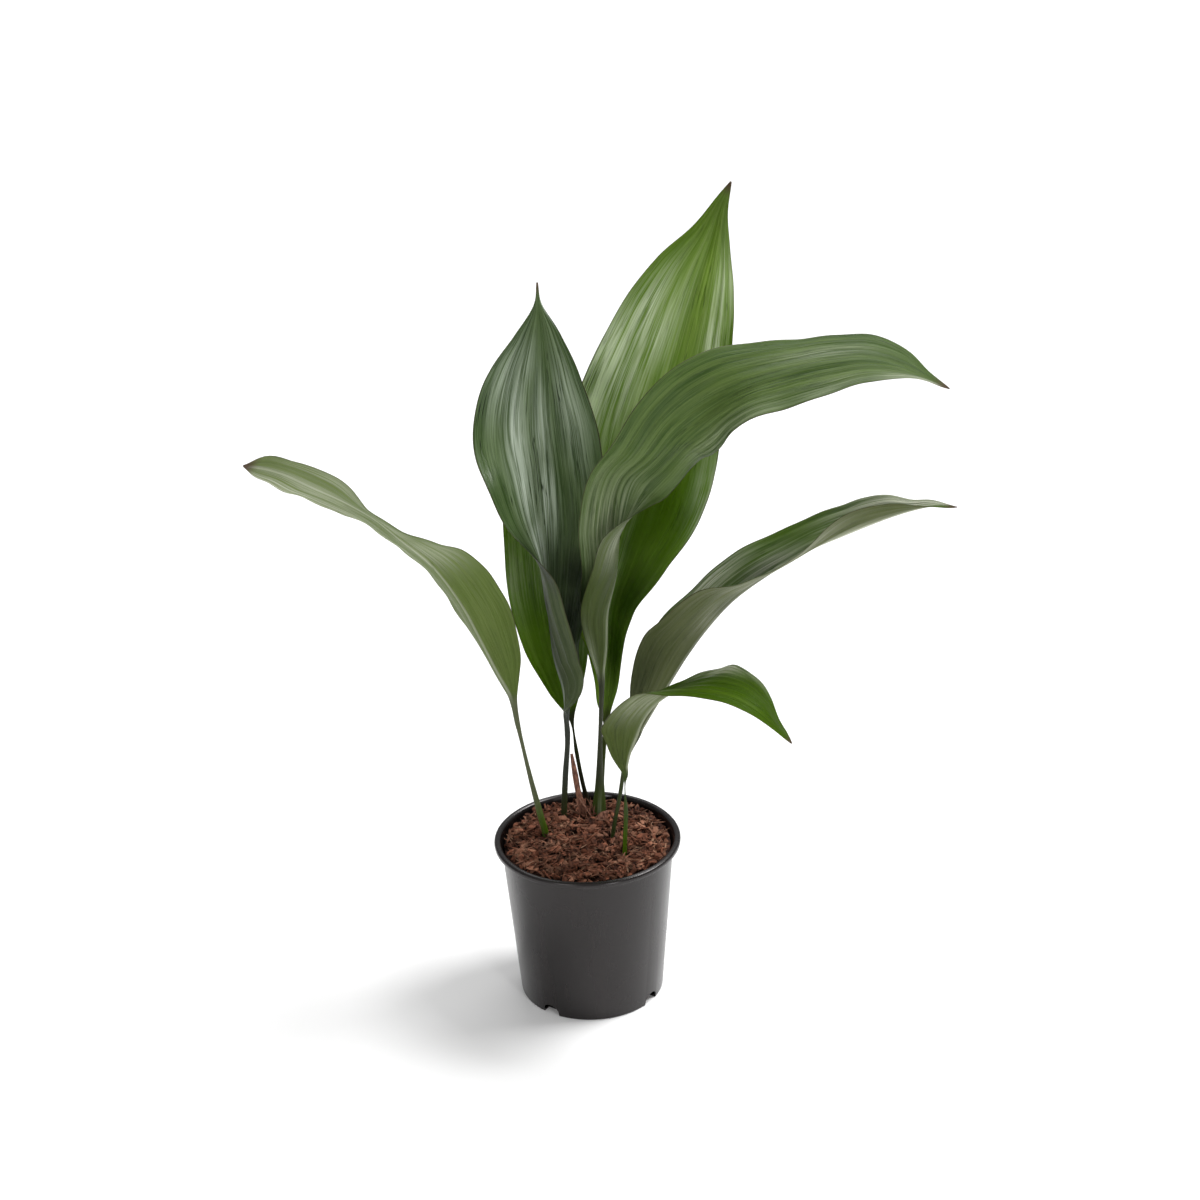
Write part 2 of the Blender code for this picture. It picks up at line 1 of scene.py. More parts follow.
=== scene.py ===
# Looks of a potted cast iron plant: leaf blades, stalks, dry sheaths, bark mix and a plastic nursery pot.
import bpy
import numpy as np
from math import cos, pi, radians, sin
from mathutils import Matrix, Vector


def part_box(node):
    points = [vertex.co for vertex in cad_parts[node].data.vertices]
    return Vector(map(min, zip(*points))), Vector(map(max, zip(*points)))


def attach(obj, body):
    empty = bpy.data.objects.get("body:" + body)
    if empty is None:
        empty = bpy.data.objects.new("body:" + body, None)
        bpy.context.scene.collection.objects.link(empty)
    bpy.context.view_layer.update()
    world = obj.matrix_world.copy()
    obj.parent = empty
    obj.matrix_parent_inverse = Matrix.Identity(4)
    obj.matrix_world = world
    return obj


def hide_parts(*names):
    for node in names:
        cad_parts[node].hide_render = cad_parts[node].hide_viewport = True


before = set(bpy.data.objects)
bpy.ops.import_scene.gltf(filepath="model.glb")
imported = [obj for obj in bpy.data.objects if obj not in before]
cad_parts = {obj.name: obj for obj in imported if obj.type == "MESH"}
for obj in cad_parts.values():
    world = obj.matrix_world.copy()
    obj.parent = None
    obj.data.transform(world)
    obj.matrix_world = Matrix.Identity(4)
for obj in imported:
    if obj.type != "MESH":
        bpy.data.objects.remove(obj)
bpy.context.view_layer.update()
mm = 0.001
print("frame loaded:", len(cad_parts), "nodes")


# small helpers for meshes

def rgb(red, green, blue):
    # display colour of 0 to 255 turned to scene-linear: ((c + 0.055) / 1.055) ** 2.4, or c / 12.92 when dark
    c = np.array((red, green, blue)) / 255
    return tuple(float(x) for x in np.where(c > 0.04045, ((c + 0.055) / 1.055) ** 2.4, c / 12.92)) + (1.0,)


def smoothStep(low, high, value):
    # 0 below low, 1 above high, and 3t^2 - 2t^3 between them
    t = np.clip((value - low) / (high - low), 0, 1)
    return t * t * (3 - 2 * t)


def ripple(points, size, seed, layers=5):
    # soft random field: the mean of sines of different directions, about one wave per size
    chance = np.random.default_rng(seed)
    total = np.zeros(points.shape[:-1])
    for _ in range(layers):
        way = chance.normal(size=3)
        way *= 2 * pi / size * chance.uniform(0.6, 1.5) / np.linalg.norm(way)
        total += np.sin(points @ way + chance.uniform(0, 2 * pi))
    return total / layers


def gridFaces(rows, columns, closed=False):
    # quads of a rows x columns grid of points; closed joins the last column to the first
    index = np.arange(rows * columns).reshape(rows, columns)
    right = np.roll(index, -1, axis=1)
    quads = np.stack((index[:-1], right[:-1], right[1:], index[1:]), axis=-1)
    return (quads if closed else quads[:, :-1]).reshape(-1, 4)


def tubeFaces(rings, sides):
    # the quads of a closed tube with a cap at each end
    last = (rings - 1) * sides
    ends = [list(range(sides))[::-1], [last + i for i in range(sides)]]
    return gridFaces(rings, sides, closed=True).tolist() + ends


def addPiece(name, points, faces, material=None, body="root", smooth=True):
    # a mesh object at the origin, riding on a body unless there is none
    mesh = bpy.data.meshes.new(name)
    points = np.asarray(points, float).reshape(-1, 3).tolist()
    mesh.from_pydata(points, [], [list(map(int, face)) for face in faces])
    if smooth:
        mesh.shade_smooth()
    piece = bpy.data.objects.new(name, mesh)
    bpy.context.scene.collection.objects.link(piece)
    if material:
        mesh.materials.append(material)
    if body:
        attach(piece, body)
    return piece


def giveValues(piece, name, values):
    # one number, or one triple of numbers, for every point of the mesh
    kind, field = ("FLOAT_VECTOR", "vector") if values.ndim > 1 else ("FLOAT", "value")
    piece.data.attributes.new(name, kind, "POINT").data.foreach_set(field, values.astype(np.float32).ravel())


def throughKnots(rows, count):
    # Hermite curve through rows, evenly spaced along the chords of their first three columns;
    # each inner slope is the distance-weighted mean of the two chords that meet there
    rows = np.asarray(rows, float)
    chord = np.linalg.norm(np.diff(rows[:, :3], axis=0), axis=1)
    along = np.concatenate(([0], np.cumsum(chord)))
    rise = np.diff(rows, axis=0) / chord[:, None]
    slope = np.empty_like(rows)
    slope[0], slope[-1] = rise[0], rise[-1]
    before, after = chord[:-1, None], chord[1:, None]
    slope[1:-1] = (rise[:-1] * after + rise[1:] * before) / (before + after)
    at = np.linspace(0, along[-1], count)
    i = np.clip(np.searchsorted(along, at, side="right") - 1, 0, len(chord) - 1)
    step = chord[i][:, None]
    u = (at - along[i])[:, None] / step
    return ((2 * u**3 - 3 * u**2 + 1) * rows[i] + (u**3 - 2 * u**2 + u) * step * slope[i]
            + (3 * u**2 - 2 * u**3) * rows[i + 1] + (u**3 - u**2) * step * slope[i + 1])


# small helpers for materials

def addNode(tree, kind, **settings):
    # a node, with its plain settings; a value for a numbered or named input is given as a pair in inputs
    made = tree.nodes.new(kind)
    for key, value in settings.items():
        if key == "inputs":
            for name, given in value.items():
                socket = made.inputs[name]
                if isinstance(given, bpy.types.NodeSocket):
                    tree.links.new(given, socket)
                else:
                    socket.default_value = given
        else:
            setattr(made, key, value)
    return made


def calc(tree, operation, first, second=0.0, third=None):
    # one Math node
    inputs = {0: first, 1: second}
    if third is not None:
        inputs[2] = third
    return addNode(tree, "ShaderNodeMath", operation=operation, inputs=inputs).outputs[0]


def times(tree, first, second):
    return calc(tree, "MULTIPLY", first, second)


def blendColour(tree, share, first, second):
    # first where share is 0, second where it is 1
    inputs = {"Factor": share, 6: first, 7: second}
    return addNode(tree, "ShaderNodeMix", data_type="RGBA", inputs=inputs).outputs[2]


def between(tree, value, low, high):
    # 0 at low, 1 at high, eased
    return addNode(tree, "ShaderNodeMapRange", interpolation_type="SMOOTHSTEP",
                   inputs={"Value": value, "From Min": low, "From Max": high}).outputs[0]


def noise(tree, place, scale, detail, rough=0.5, twist=0.0):
    # soft noise round one half
    inputs = {"Vector": place, "Scale": scale, "Detail": detail, "Roughness": rough, "Distortion": twist}
    return addNode(tree, "ShaderNodeTexNoise", inputs=inputs).outputs[0]


def objectPlace(tree):
    return addNode(tree, "ShaderNodeTexCoord").outputs["Object"]


def split(tree, value):
    return addNode(tree, "ShaderNodeSeparateXYZ", inputs={0: value}).outputs


def addBump(tree, height, distance, strength, *shaders):
    inputs = {"Height": height, "Distance": distance, "Strength": strength}
    bump = addNode(tree, "ShaderNodeBump", inputs=inputs).outputs[0]
    for shader in shaders:
        tree.links.new(bump, shader.inputs["Normal"])


def newGroup(name, takes, gives):
    group = bpy.data.node_groups.new(name, "ShaderNodeTree")
    for label, kind, value in takes:
        socket = group.interface.new_socket(label, in_out="INPUT", socket_type=kind)
        socket.default_value = value
    for label, kind in gives:
        group.interface.new_socket(label, in_out="OUTPUT", socket_type=kind)
    return group, addNode(group, "NodeGroupInput"), addNode(group, "NodeGroupOutput")


colourSocket, valueSocket = "NodeSocketColor", "NodeSocketFloat"


def makeMaterial(name):
    material = bpy.data.materials.new(name)
    material.use_nodes = True
    tree = material.node_tree
    return material, tree, tree.nodes["Principled BSDF"]


# leaf finish

skin = ("Light", "Deep", "Under", "Shadow", "Margin", "Bloom", "Stalk", "Foot")


def buildVeinGroup():
    # Along-the-leaf pattern. Coordinates are length in metres and place across from -1 to 1, so every
    # streak runs with the veins and they draw together at stalk and tip.
    names = ("Patches", "Streaks", "Threads", "Lines", "Height")
    group, given, out = newGroup("Leaf veins", [("Bands", valueSocket, 1.0), ("Threads", valueSocket, 1.0)],
                                 [(name, valueSocket) for name in names])
    place = addNode(group, "ShaderNodeUVMap", uv_map="leafPlace").outputs[0]

    def stretched(lengthScale, acrossScale, detail, shift):
        mapped = addNode(group, "ShaderNodeMapping", inputs={
            "Vector": place, "Location": (shift, shift * 0.37, shift),
            "Scale": (lengthScale, acrossScale, 1)})
        return noise(group, mapped.outputs[0], 1.0, detail, 0.55)

    patches = between(group, stretched(9, 3.2, 2, 3.1), 0.36, 0.64)
    streaks = between(group, stretched(10, 17, 4, 7.7), 0.41, 0.6)
    threads = between(group, stretched(20, 70, 2, 1.3), 0.42, 0.58)
    # thin creases lie where a stretched noise passes one half, in loose groups
    fromHalf = calc(group, "ABSOLUTE", calc(group, "SUBTRACT", stretched(7, 15, 2, 5.9), 0.5))
    creases = between(group, fromHalf, 0.017, 0.003)
    lines = times(group, creases, between(group, stretched(12, 9, 1, 9.4), 0.42, 0.6))
    height = times(group, threads, given.outputs["Threads"])
    height = calc(group, "MULTIPLY_ADD", streaks, given.outputs["Bands"], height)
    height = calc(group, "SUBTRACT", height, times(group, lines, 0.5))
    for name, socket in zip(names, (patches, streaks, threads, lines, height)):
        group.links.new(socket, out.inputs[name])
    return group


def buildLeafGroup(veins):
    # Colours of a leaf: streaked upper face with painted sheen, a painted glow of yellower green at the
    # margin, dark creases and spots of painted shade, paler underside, stalk, margin line and dry tip
    takes = [(name, colourSocket, rgb(90, 115, 60)) for name in skin]
    takes += [("Edge", colourSocket, rgb(70, 60, 45)), ("Tip", colourSocket, rgb(95, 75, 60)),
              ("Gloss", valueSocket, 0.3), ("Creases", valueSocket, 0.6)]
    gives = [("Colour", colourSocket), ("Glow", colourSocket), ("Roughness", valueSocket),
             ("Height", valueSocket)]
    group, given, out = newGroup("Leaf colours", takes, gives)
    colourOf = given.outputs
    pattern = addNode(group, "ShaderNodeGroup", node_tree=veins, inputs={"Bands": 0.8, "Threads": 0.4})
    patches, streaks, threads, lines, height = pattern.outputs

    def parts(name):
        return split(group, addNode(group, "ShaderNodeAttribute", attribute_name=name).outputs["Vector"])

    place, masks, zones = parts("leafWhere"), parts("leafMasks"), parts("leafZones")
    across, fromRib = calc(group, "ABSOLUTE", place[1]), calc(group, "ABSOLUTE", place[2])
    upper, rod, dry = masks
    # the zones are spots of painted sheen, painted glow and painted shade, in that order
    paintedSheen, paintedGlow, paintedShade = zones

    share = calc(group, "MULTIPLY_ADD", streaks, 0.38, times(group, patches, 0.34))
    share = calc(group, "MULTIPLY_ADD", threads, 0.28, share)
    top = blendColour(group, share, colourOf["Deep"], colourOf["Light"])
    # painted glow: the outer part of the blade and the glow spots turn yellower green, standing for light
    # shining through the thin blade
    outer = times(group, between(group, across, 0.6, 0.97), 0.35)
    top = blendColour(group, calc(group, "MAXIMUM", outer, paintedGlow), top, colourOf["Margin"])
    # painted sheen: pale whitish streaks in the sheen colour stand for gloss on the blade
    sheenShare = calc(group, "MULTIPLY_ADD", streaks, 0.55, calc(group, "MULTIPLY_ADD", threads, 0.4, 0.1))
    sheenShare = times(group, paintedSheen, sheenShare)
    top = blendColour(group, sheenShare, top, colourOf["Bloom"])
    rib = calc(group, "SUBTRACT", 1.0, between(group, fromRib, 0.0003, 0.0012))
    top = blendColour(group, times(group, rib, 0.3), top, colourOf["Light"])

    lowShare = calc(group, "MULTIPLY_ADD", threads, 0.35, times(group, streaks, 0.4))
    low = blendColour(group, lowShare, colourOf["Under"], colourOf["Shadow"])
    # the same painted sheen and painted glow on the underside
    low = blendColour(group, times(group, sheenShare, 0.8), low, colourOf["Bloom"])
    low = blendColour(group, times(group, paintedGlow, 0.7), low, colourOf["Margin"])
    # painted highlight along the midrib underneath, in the sheen colour
    ribLow = calc(group, "SUBTRACT", 1.0, between(group, fromRib, 0.0008, 0.0022))
    low = blendColour(group, times(group, ribLow, 0.4), low, colourOf["Bloom"])
    blade = blendColour(group, upper, low, top)
    # painted shade: the thin creases are darkened towards near black green
    blade = blendColour(group, times(group, lines, colourOf["Creases"]), blade, rgb(20, 34, 12))
    # painted shade: spots where the blade lies deep in shade turn near black green
    blade = blendColour(group, paintedShade, blade, rgb(12, 26, 4))
    edge = times(group, between(group, across, 0.975, 0.998), 0.7)
    blade = blendColour(group, edge, blade, colourOf["Edge"])
    stalk = blendColour(group, times(group, threads, 0.4), colourOf["Stalk"], colourOf["Shadow"])
    foot = calc(group, "SUBTRACT", 1.0, between(group, split(group, objectPlace(group))[2], 0.16, 0.2))
    stalk = blendColour(group, foot, stalk, colourOf["Foot"])
    colour = blendColour(group, rod, blade, stalk)
    colour = blendColour(group, dry, colour, colourOf["Tip"])

    rough = calc(group, "MULTIPLY_ADD", streaks, 0.14, colourOf["Gloss"])
    rough = calc(group, "MULTIPLY_ADD", calc(group, "SUBTRACT", 1.0, upper), 0.12, rough)
    # light shining through turns the blade yellower; stalk and dry tip let next to none through
    lit = blendColour(group, 0.55, colour, rgb(140, 180, 10))
    glow = blendColour(group, calc(group, "MAXIMUM", rod, dry), lit, rgb(10, 14, 4))
    for socket, name in ((colour, "Colour"), (glow, "Glow"), (rough, "Roughness"), (height, "Height")):
        group.links.new(socket, out.inputs[name])
    return group


def leafMaterial(name, group, shape):
    # leaf colours on a glossy skin, with part of the light let through the blade
    material, tree, shader = makeMaterial(name)
    inputs = {name: rgb(*colour) for name, colour in zip(skin, shape["colours"])}
    inputs.update({"Gloss": shape["gloss"], "Creases": shape.get("creases", 0.6)})
    colours = addNode(tree, "ShaderNodeGroup", node_tree=group, inputs=inputs).outputs
    for output, socket in (("Colour", "Base Color"), ("Roughness", "Roughness")):
        tree.links.new(colours[output], shader.inputs[socket])
    shader.inputs["Specular IOR Level"].default_value = shape["shine"]
    glow = addNode(tree, "ShaderNodeBsdfTranslucent", inputs={"Color": colours["Glow"]})
    addBump(tree, colours["Height"], 0.4 * mm, 0.7, shader, glow)
    mixed = addNode(tree, "ShaderNodeMixShader", inputs={0: shape["thin"], 1: shader.outputs[0],
                                                         2: glow.outputs[0]})
    tree.links.new(mixed.outputs[0], tree.nodes["Material Output"].inputs["Surface"])
    return material


# leaves

blade = {"stations": 170, "across": 41, "half": 0.42 * mm, "rib": 0.55 * mm, "ribWidth": 1.6 * mm,
         "stalkTop": 1.5 * mm, "stalkUnder": 2.3 * mm, "stalkHalf": 2.6 * mm, "shut": 3.4 * mm,
         "spread": 9 * mm, "full": 30 * mm, "waves": (85 * mm, 41 * mm), "pleats": (3.6, 7.3, 12.7)}

# low and high are the way the upper side faces at the foot and at the tip, pleat and wave are heights in
# millimetres, and thin and shine are the shares of light let through and thrown back.
# the three spot lists, in the order they stand, are painted sheen (pale streaks standing for gloss), painted
# glow (yellower green standing for light shining through) and painted shade: share of the way up, place
# across from -1 to 1, reach along, reach across, strength. colours are display colours in the order of skin.
# rows holds one row per station from the foot of the stalk to the tip, in millimetres and degrees:
# x, y, z, half width, turn of the upper side, then fold at the midrib and curl towards the margin, left
# half first. A short row goes on with zeros.
leaves = {
    "leaf_left_arching": dict(
        low=(.75, .65, 0), high=(.1, .85, .5), pleat=0.3, wave=2.2, seed=3, thin=0.3, shine=0.2,
        paintedSheen=((.45, .45, .2, .3, .55), (.62, .85, .12, .3, .9), (.74, -.35, .06, .35, .8),
              (.82, .75, .2, .4, .8), (.9, .9, .12, .4, 1.3), (.88, .2, .14, .6, .7),
              (.66, -.25, .05, .9, .75), (.88, -.8, .1, .25, .6), (.35, .9, .06, .3, .7)),
        paintedGlow=((.3, -.6, .1, .4, .3),),
        colours=((80, 104, 34), (48, 74, 18), (106, 122, 62), (82, 100, 38), (78, 110, 20),
                 (214, 215, 196), (112, 116, 90), (86, 116, 14)),
        gloss=0.42, creases=0.35,
        rows=(
            (-37, 14, 0, 4.6), (-38, 14, 150, 4.6), (-43, 13, 177, 4.1), (-50, 11, 215, 2.5),
            (-59, 8, 270, 2.6, 0, 5, 0, 5), (-63, 5, 297, 5, 0, 20, 0, 20),
            (-75, -2, 328, 23.4, 4, 38, 10, 34, 8), (-87, -10, 362, 33.1, 2, 30, 10, 30, 9),
            (-102, -25, 406, 39.6, -2, 19, 12, 25, 7), (-127, -45, 456, 40.7, -12, 12, 11, 16),
            (-148, -60, 484, 39.7, -19, 4, 3, 6, 1), (-168, -75, 511, 38.2, -23, -9, -3, -1, -2),
            (-188, -88, 531, 36.1, -17, -12, -3, -1), (-214, -105, 553, 31, -6, -3, 2, 5, 2),
            (-237, -117, 571, 22.2, -2, -2, 1, 5, 2), (-255, -126, 580, 10.4, 5, 9, 4, 4, 1),
            (-264, -130, 583, 1))),
    "leaf_upright_dark": dict(
        low=(0, -1, 0), high=(0, -.95, .3), pleat=0.7, wave=1.2, seed=8, thin=0.1, shine=0.15,
        paintedSheen=((.72, -.38, .13, .16, 1.1), (.55, -.3, .06, .2, 1.1), (.64, 0, .08, .14, 1),
              (.76, 0, .08, .15, .8), (.84, -.6, .07, .3, .55), (.79, .6, .1, .25, .5),
              (.86, -.3, .05, .2, .45), (.97, .95, .03, .15, 1.4)),
        paintedGlow=((.86, -.9, .1, .1, .4),),
        paintedShade=((.4, .4, .12, 1, 1), (.5, .5, .06, .7, .85), (.55, -.9, .05, .3, .85),
             (.64, -.95, .05, .2, .35), (.58, .7, .05, .4, .4), (.47, -.2, .05, .4, .9)),
        colours=((98, 118, 74), (48, 68, 32), (84, 96, 62), (58, 72, 40), (52, 78, 28), (200, 212, 194),
                 (64, 66, 62), (56, 60, 32)),
        gloss=0.25, creases=0.9,
        rows=(
            (-21, 47, 0, 2.9), (-21, 47, 150, 2.9), (-18.5, 51, 191, 2.7),
            (-15, 54, 233, 2.8, 30, 5, 0, 5), (-16, 53, 258, 5, 60, 20, 0, 20),
            (-17, 52, 279, 19.9, 78, 55, 8, 33), (-25, 53, 317, 32.6, 69, 41, 51, 29),
            (-26, 56, 369, 42.9, 50, 13, 97, 21), (-25, 61, 408, 51.4, 35, 18, 74, 17),
            (-25, 68, 447, 57.8, 9, 27, 30, 22), (-26, 78, 489, 61.7, -3, 23, 13, 29),
            (-29, 90, 533, 59, -13, 9, 1, 21), (-28, 102, 572, 45.1, -18, 7, 0, 22),
            (-27, 112, 602, 22.9, -16, 3, -1, 15), (-27, 122, 629, 3.1, -4, -1, -1, 3),
            (-27, 130, 645, .8))),
    "leaf_hidden_bright": dict(
        low=(0, -1, 0), high=(0, -.95, .3), pleat=0.5, wave=1.2, seed=5, thin=0.42, shine=0.1,
        paintedSheen=((.6, -.9, .08, .3, .8), (.62, 0, .08, 1, .9), (.45, .8, .05, .3, 1.3)),
        paintedShade=((.36, .7, .12, .4, .4),),
        colours=((102, 130, 44), (74, 102, 10), (96, 116, 50), (70, 92, 26), (84, 116, 4), (160, 172, 136),
                 (50, 50, 34), (56, 50, 34)),
        gloss=0.36,
        rows=(
            (4, 61, 0, 2.2), (4, 61, 145, 2.2), (-2, 63, 174, 2), (-7, 65, 207, 1.9, 0, 5, 0, 5),
            (-11, 69, 244, 3, 0, 15, 0, 15), (-16, 77, 271, 18, 4, 25, 10, 22, 5),
            (-22, 86, 309, 31, 6, 15, 10, 15, 5), (-28, 96, 356, 37, 4, 10, 5, 10, 5),
            (-31, 103, 403, 36, 0, 8, 5, 10, 5), (-34, 116, 447, 33, 0, 8, 0, 8),
            (-38, 130, 491, 26, 0, 8, 0, 8), (-40, 142, 525, 8), (-41, 148, 542, .8))),
    "leaf_tallest": dict(
        low=(0, -1, 0), high=(.1, -.9, .35), pleat=0.6, wave=1.6, seed=21, thin=0.4, shine=0.09,
        paintedSheen=((.68, -.85, .09, .55, 1.5), (.77, -.55, .08, .3, 1), (.76, -.25, .08, .2, .7),
              (.42, -.35, .07, .25, 1), (.56, .95, .06, .15, .8), (.77, .66, .06, .16, 1),
              (.83, .7, .08, .2, .75), (.86, .95, .06, .15, .5), (.8, -.05, .1, .15, .4),
              (.38, .05, .1, .12, .7)),
        paintedGlow=((.53, .6, .12, .9, 1), (.9, -.8, .05, .4, .6), (.55, -.3, .06, .4, .7),
               (.66, .9, .1, .4, .8), (.85, -.95, .1, .12, .6)),
        paintedShade=((.3, .6, .08, .8, .85), (.38, .7, .08, .6, .9), (.5, .3, .1, .5, .5), (.45, .75, .1, .3, .5),
             (.97, 0, .07, 2, .45)),
        colours=((150, 178, 84), (96, 128, 34), (112, 130, 72), (84, 104, 40), (84, 116, 2),
                 (228, 238, 208), (72, 84, 34), (62, 78, 22)),
        gloss=0.28,
        rows=(
            (14, 57, 0, 2.6), (14, 57, 147, 2.6), (17, 57, 209, 2.6), (21, 59, 250, 4, 0, 20, 0, 20),
            (20, 64, 269, 11.7, 15, 30, 10, 35), (24, 79, 309, 20, 0, 12, 4, 48),
            (27, 86, 355, 37.7, -10, 6, 4, 43), (38, 92, 402, 53, -10, 10, 2, 26),
            (50, 101, 446, 65.6, -2, 11, -1, 9), (61, 110, 490, 70.7, -8, 9, -1, 13),
            (74, 121, 532, 67.5, -11, 6, -2, 15), (89, 135, 574, 60.2, -10, 6, -1, 16),
            (102, 147, 610, 50.6, -10, 5, -1, 18), (114, 158, 640, 37.4, -5, 6, 0, 16),
            (128, 171, 670, 19.8, 7, 11, 2, 5), (139, 182, 695, 8.1, 10, 6, 2, -4), (149, 189, 714, .8))),
    "leaf_broad_right": dict(
        low=(-1, -.1, 0), high=(0, -.3, .95), pleat=0.5, wave=1.4, seed=13, thin=0.16, shine=0.22,
        paintedSheen=((.85, -.35, .06, .2, .45), (.97, .9, .05, .3, 1.4), (.7, .9, .1, .3, .45),
              (.86, .9, .05, .3, .45), (.46, .6, .05, .4, .9), (.47, -.2, .09, .9, .5),
              (.25, .9, .05, .25, 1.4)),
        paintedGlow=((.92, -.6, .1, .5, .5), (.66, -.95, .1, .16, .5)),
        paintedShade=((.35, -.9, .05, .5, .9),),
        colours=((98, 120, 58), (50, 74, 26), (82, 96, 48), (62, 78, 30), (72, 96, 44), (188, 196, 168),
                 (58, 60, 46), (60, 82, 14)),
        gloss=0.32,
        rows=(
            (12, 47, 0, 7, -90, 10, 0, 10), (12, 47, 153, 7.2, -90, 20, 0, 20),
            (13, 47, 178, 4.8, -85, 5, 0, 5), (14, 47, 213, 3, -60), (16, 46, 256, 2.6, -30, 5, 0, 5),
            (19, 45, 294, 4.8, -23, 26, 4, 51, 5), (23, 45, 324, 16.5, -16, 43, 14, 71, 28),
            (25, 43, 360, 25.6, 2, 47, 15, 65, 65), (34, 40, 402, 30.9, 26, 45, 9, 45, 120),
            (35, 34, 451, 33.6, 52, 36, 1, 17, 149), (45, 25, 498, 37.2, 78, 28, -4, -19, 84),
            (63, 15, 519, 41.4, 78, 28, -2, -26, 18), (86, 5, 552, 39.8, 58, 26, 2, -12, -2),
            (118, -4, 579, 40.4, 26, 17, 0, -1), (143, -12, 594, 44.7, 8, 3, 0, 2),
            (181, -22, 609, 45.4, 1, -6, 0, -2), (216, -31, 619, 41.7, 0, -7, 0, -3),
            (247, -40, 623, 34, -2, -3, 0, 1), (273, -48, 618, 22.7, -4, 2, 1, 7, 1),
            (293, -54, 610, 8.8, -8, 3, 0, 11), (311, -58, 601, .8))),
    "leaf_trough_right": dict(
        low=(-1, .1, 0), high=(-.1, -.1, 1), pleat=0.5, wave=1.6, seed=17, thin=0.22, shine=0.14,
        paintedSheen=((.66, .1, .07, .5, 1.4), (.55, .1, .06, .25, .9), (.8, 0, .12, .2, 1.2),
              (.54, -.8, .08, .4, .9), (.88, -.9, .08, .3, .6), (.95, -.4, .05, .6, .7),
              (.92, -.5, .12, .5, 1.4), (.74, .8, .08, .4, .6), (.38, -.4, .08, .2, .9)),
        paintedGlow=((.66, -.3, .1, .5, .4),),
        paintedShade=((.35, .8, .1, .5, .5), (.64, -.15, .07, .3, .6), (.56, -.1, .05, .3, .55),
             (.45, -.3, .08, .4, .6)),
        colours=((92, 120, 38), (38, 66, 4), (102, 108, 72), (74, 84, 42), (62, 92, 8), (212, 214, 194),
                 (60, 70, 42), (52, 66, 30)),
        gloss=0.34,
        rows=(
            (22, 1, 0, 3.8), (22.5, 1, 150, 3.8), (30.5, 1, 197, 3.4), (39, 1, 239, 3.4, 0, 5, 0, 5),
            (51, 0, 262, 6.5, -7, 28, 0, 35, 2), (64, -1, 286, 24.7, -11, 61, 5, 69, 7),
            (77, -3, 310, 36, -10, 66, 6, 73, 8), (93, -8, 340, 43.1, -14, 58, 3, 69, 8),
            (110, -14, 368, 43.8, -14, 47, 0, 56), (133, -22, 399, 44.8, -10, 32, 5, 44, 3),
            (157, -30, 422, 42.8, -7, 26, 6, 26, 3), (182, -38, 442, 39.5, -6, 22, 6, 17, 2),
            (202, -45, 457, 35.3, -1, 19, 4, 25, -1), (226, -53, 471, 31.2, 0, 23, 6, 48, 1),
            (246, -59, 482, 26.8, 0, 31, 8, 59, 3), (265, -65, 492, 20.5, -2, 33, 9, 55, 5),
            (281, -70, 499, 12.5, -10, 21, 3, 41, 6), (297, -75, 504, 7.1, -3, 19, 2, 22, 3),
            (317, -79, 504, .8))),
    "leaf_low_front": dict(
        low=(-.9, .3, 0), high=(.1, -.15, .98), pleat=0.45, wave=1.4, seed=29, thin=0.26, shine=0.1,
        paintedSheen=((.74, -.85, .05, .35, 1.4), (.82, -1, .05, .2, .6), (.65, -.8, .04, .3, .5),
              (.58, .5, .08, .8, .65), (.36, 0, .1, .06, .9)),
        colours=((79, 107, 15), (56, 84, 5), (86, 98, 50), (66, 80, 34), (76, 106, 8), (206, 210, 184),
                 (70, 86, 44), (78, 108, 16)),
        gloss=0.3,
        rows=(
            (33, -25, 0, 2.9), (33, -25, 150, 2.9), (35, -29, 194, 2.8), (36, -33, 237, 3.1, 6, 33, 0, 26),
            (40, -38, 260, 17.6, 6, 70, 0, 64), (46, -47, 281, 31, -9, 44, 0, 56),
            (52, -57, 303, 36.4, -10, 18, 0, 39), (64, -69, 326, 36.3, -8, 1, 0, 34),
            (80, -83, 344, 37.2, -6, -5, 0, 28), (97, -97, 356, 35.9, -1, -7, 0, 18),
            (115, -110, 363, 33.4, 3, -5, 0, 14), (135, -122, 363, 28.5, -2, -11, 0, 3),
            (151, -132, 354, 20.2, -7, -14, 0, -2), (163, -139, 337, 9.9, -10, -11, 0, -1),
            (174, -144, 322, .8))),
}


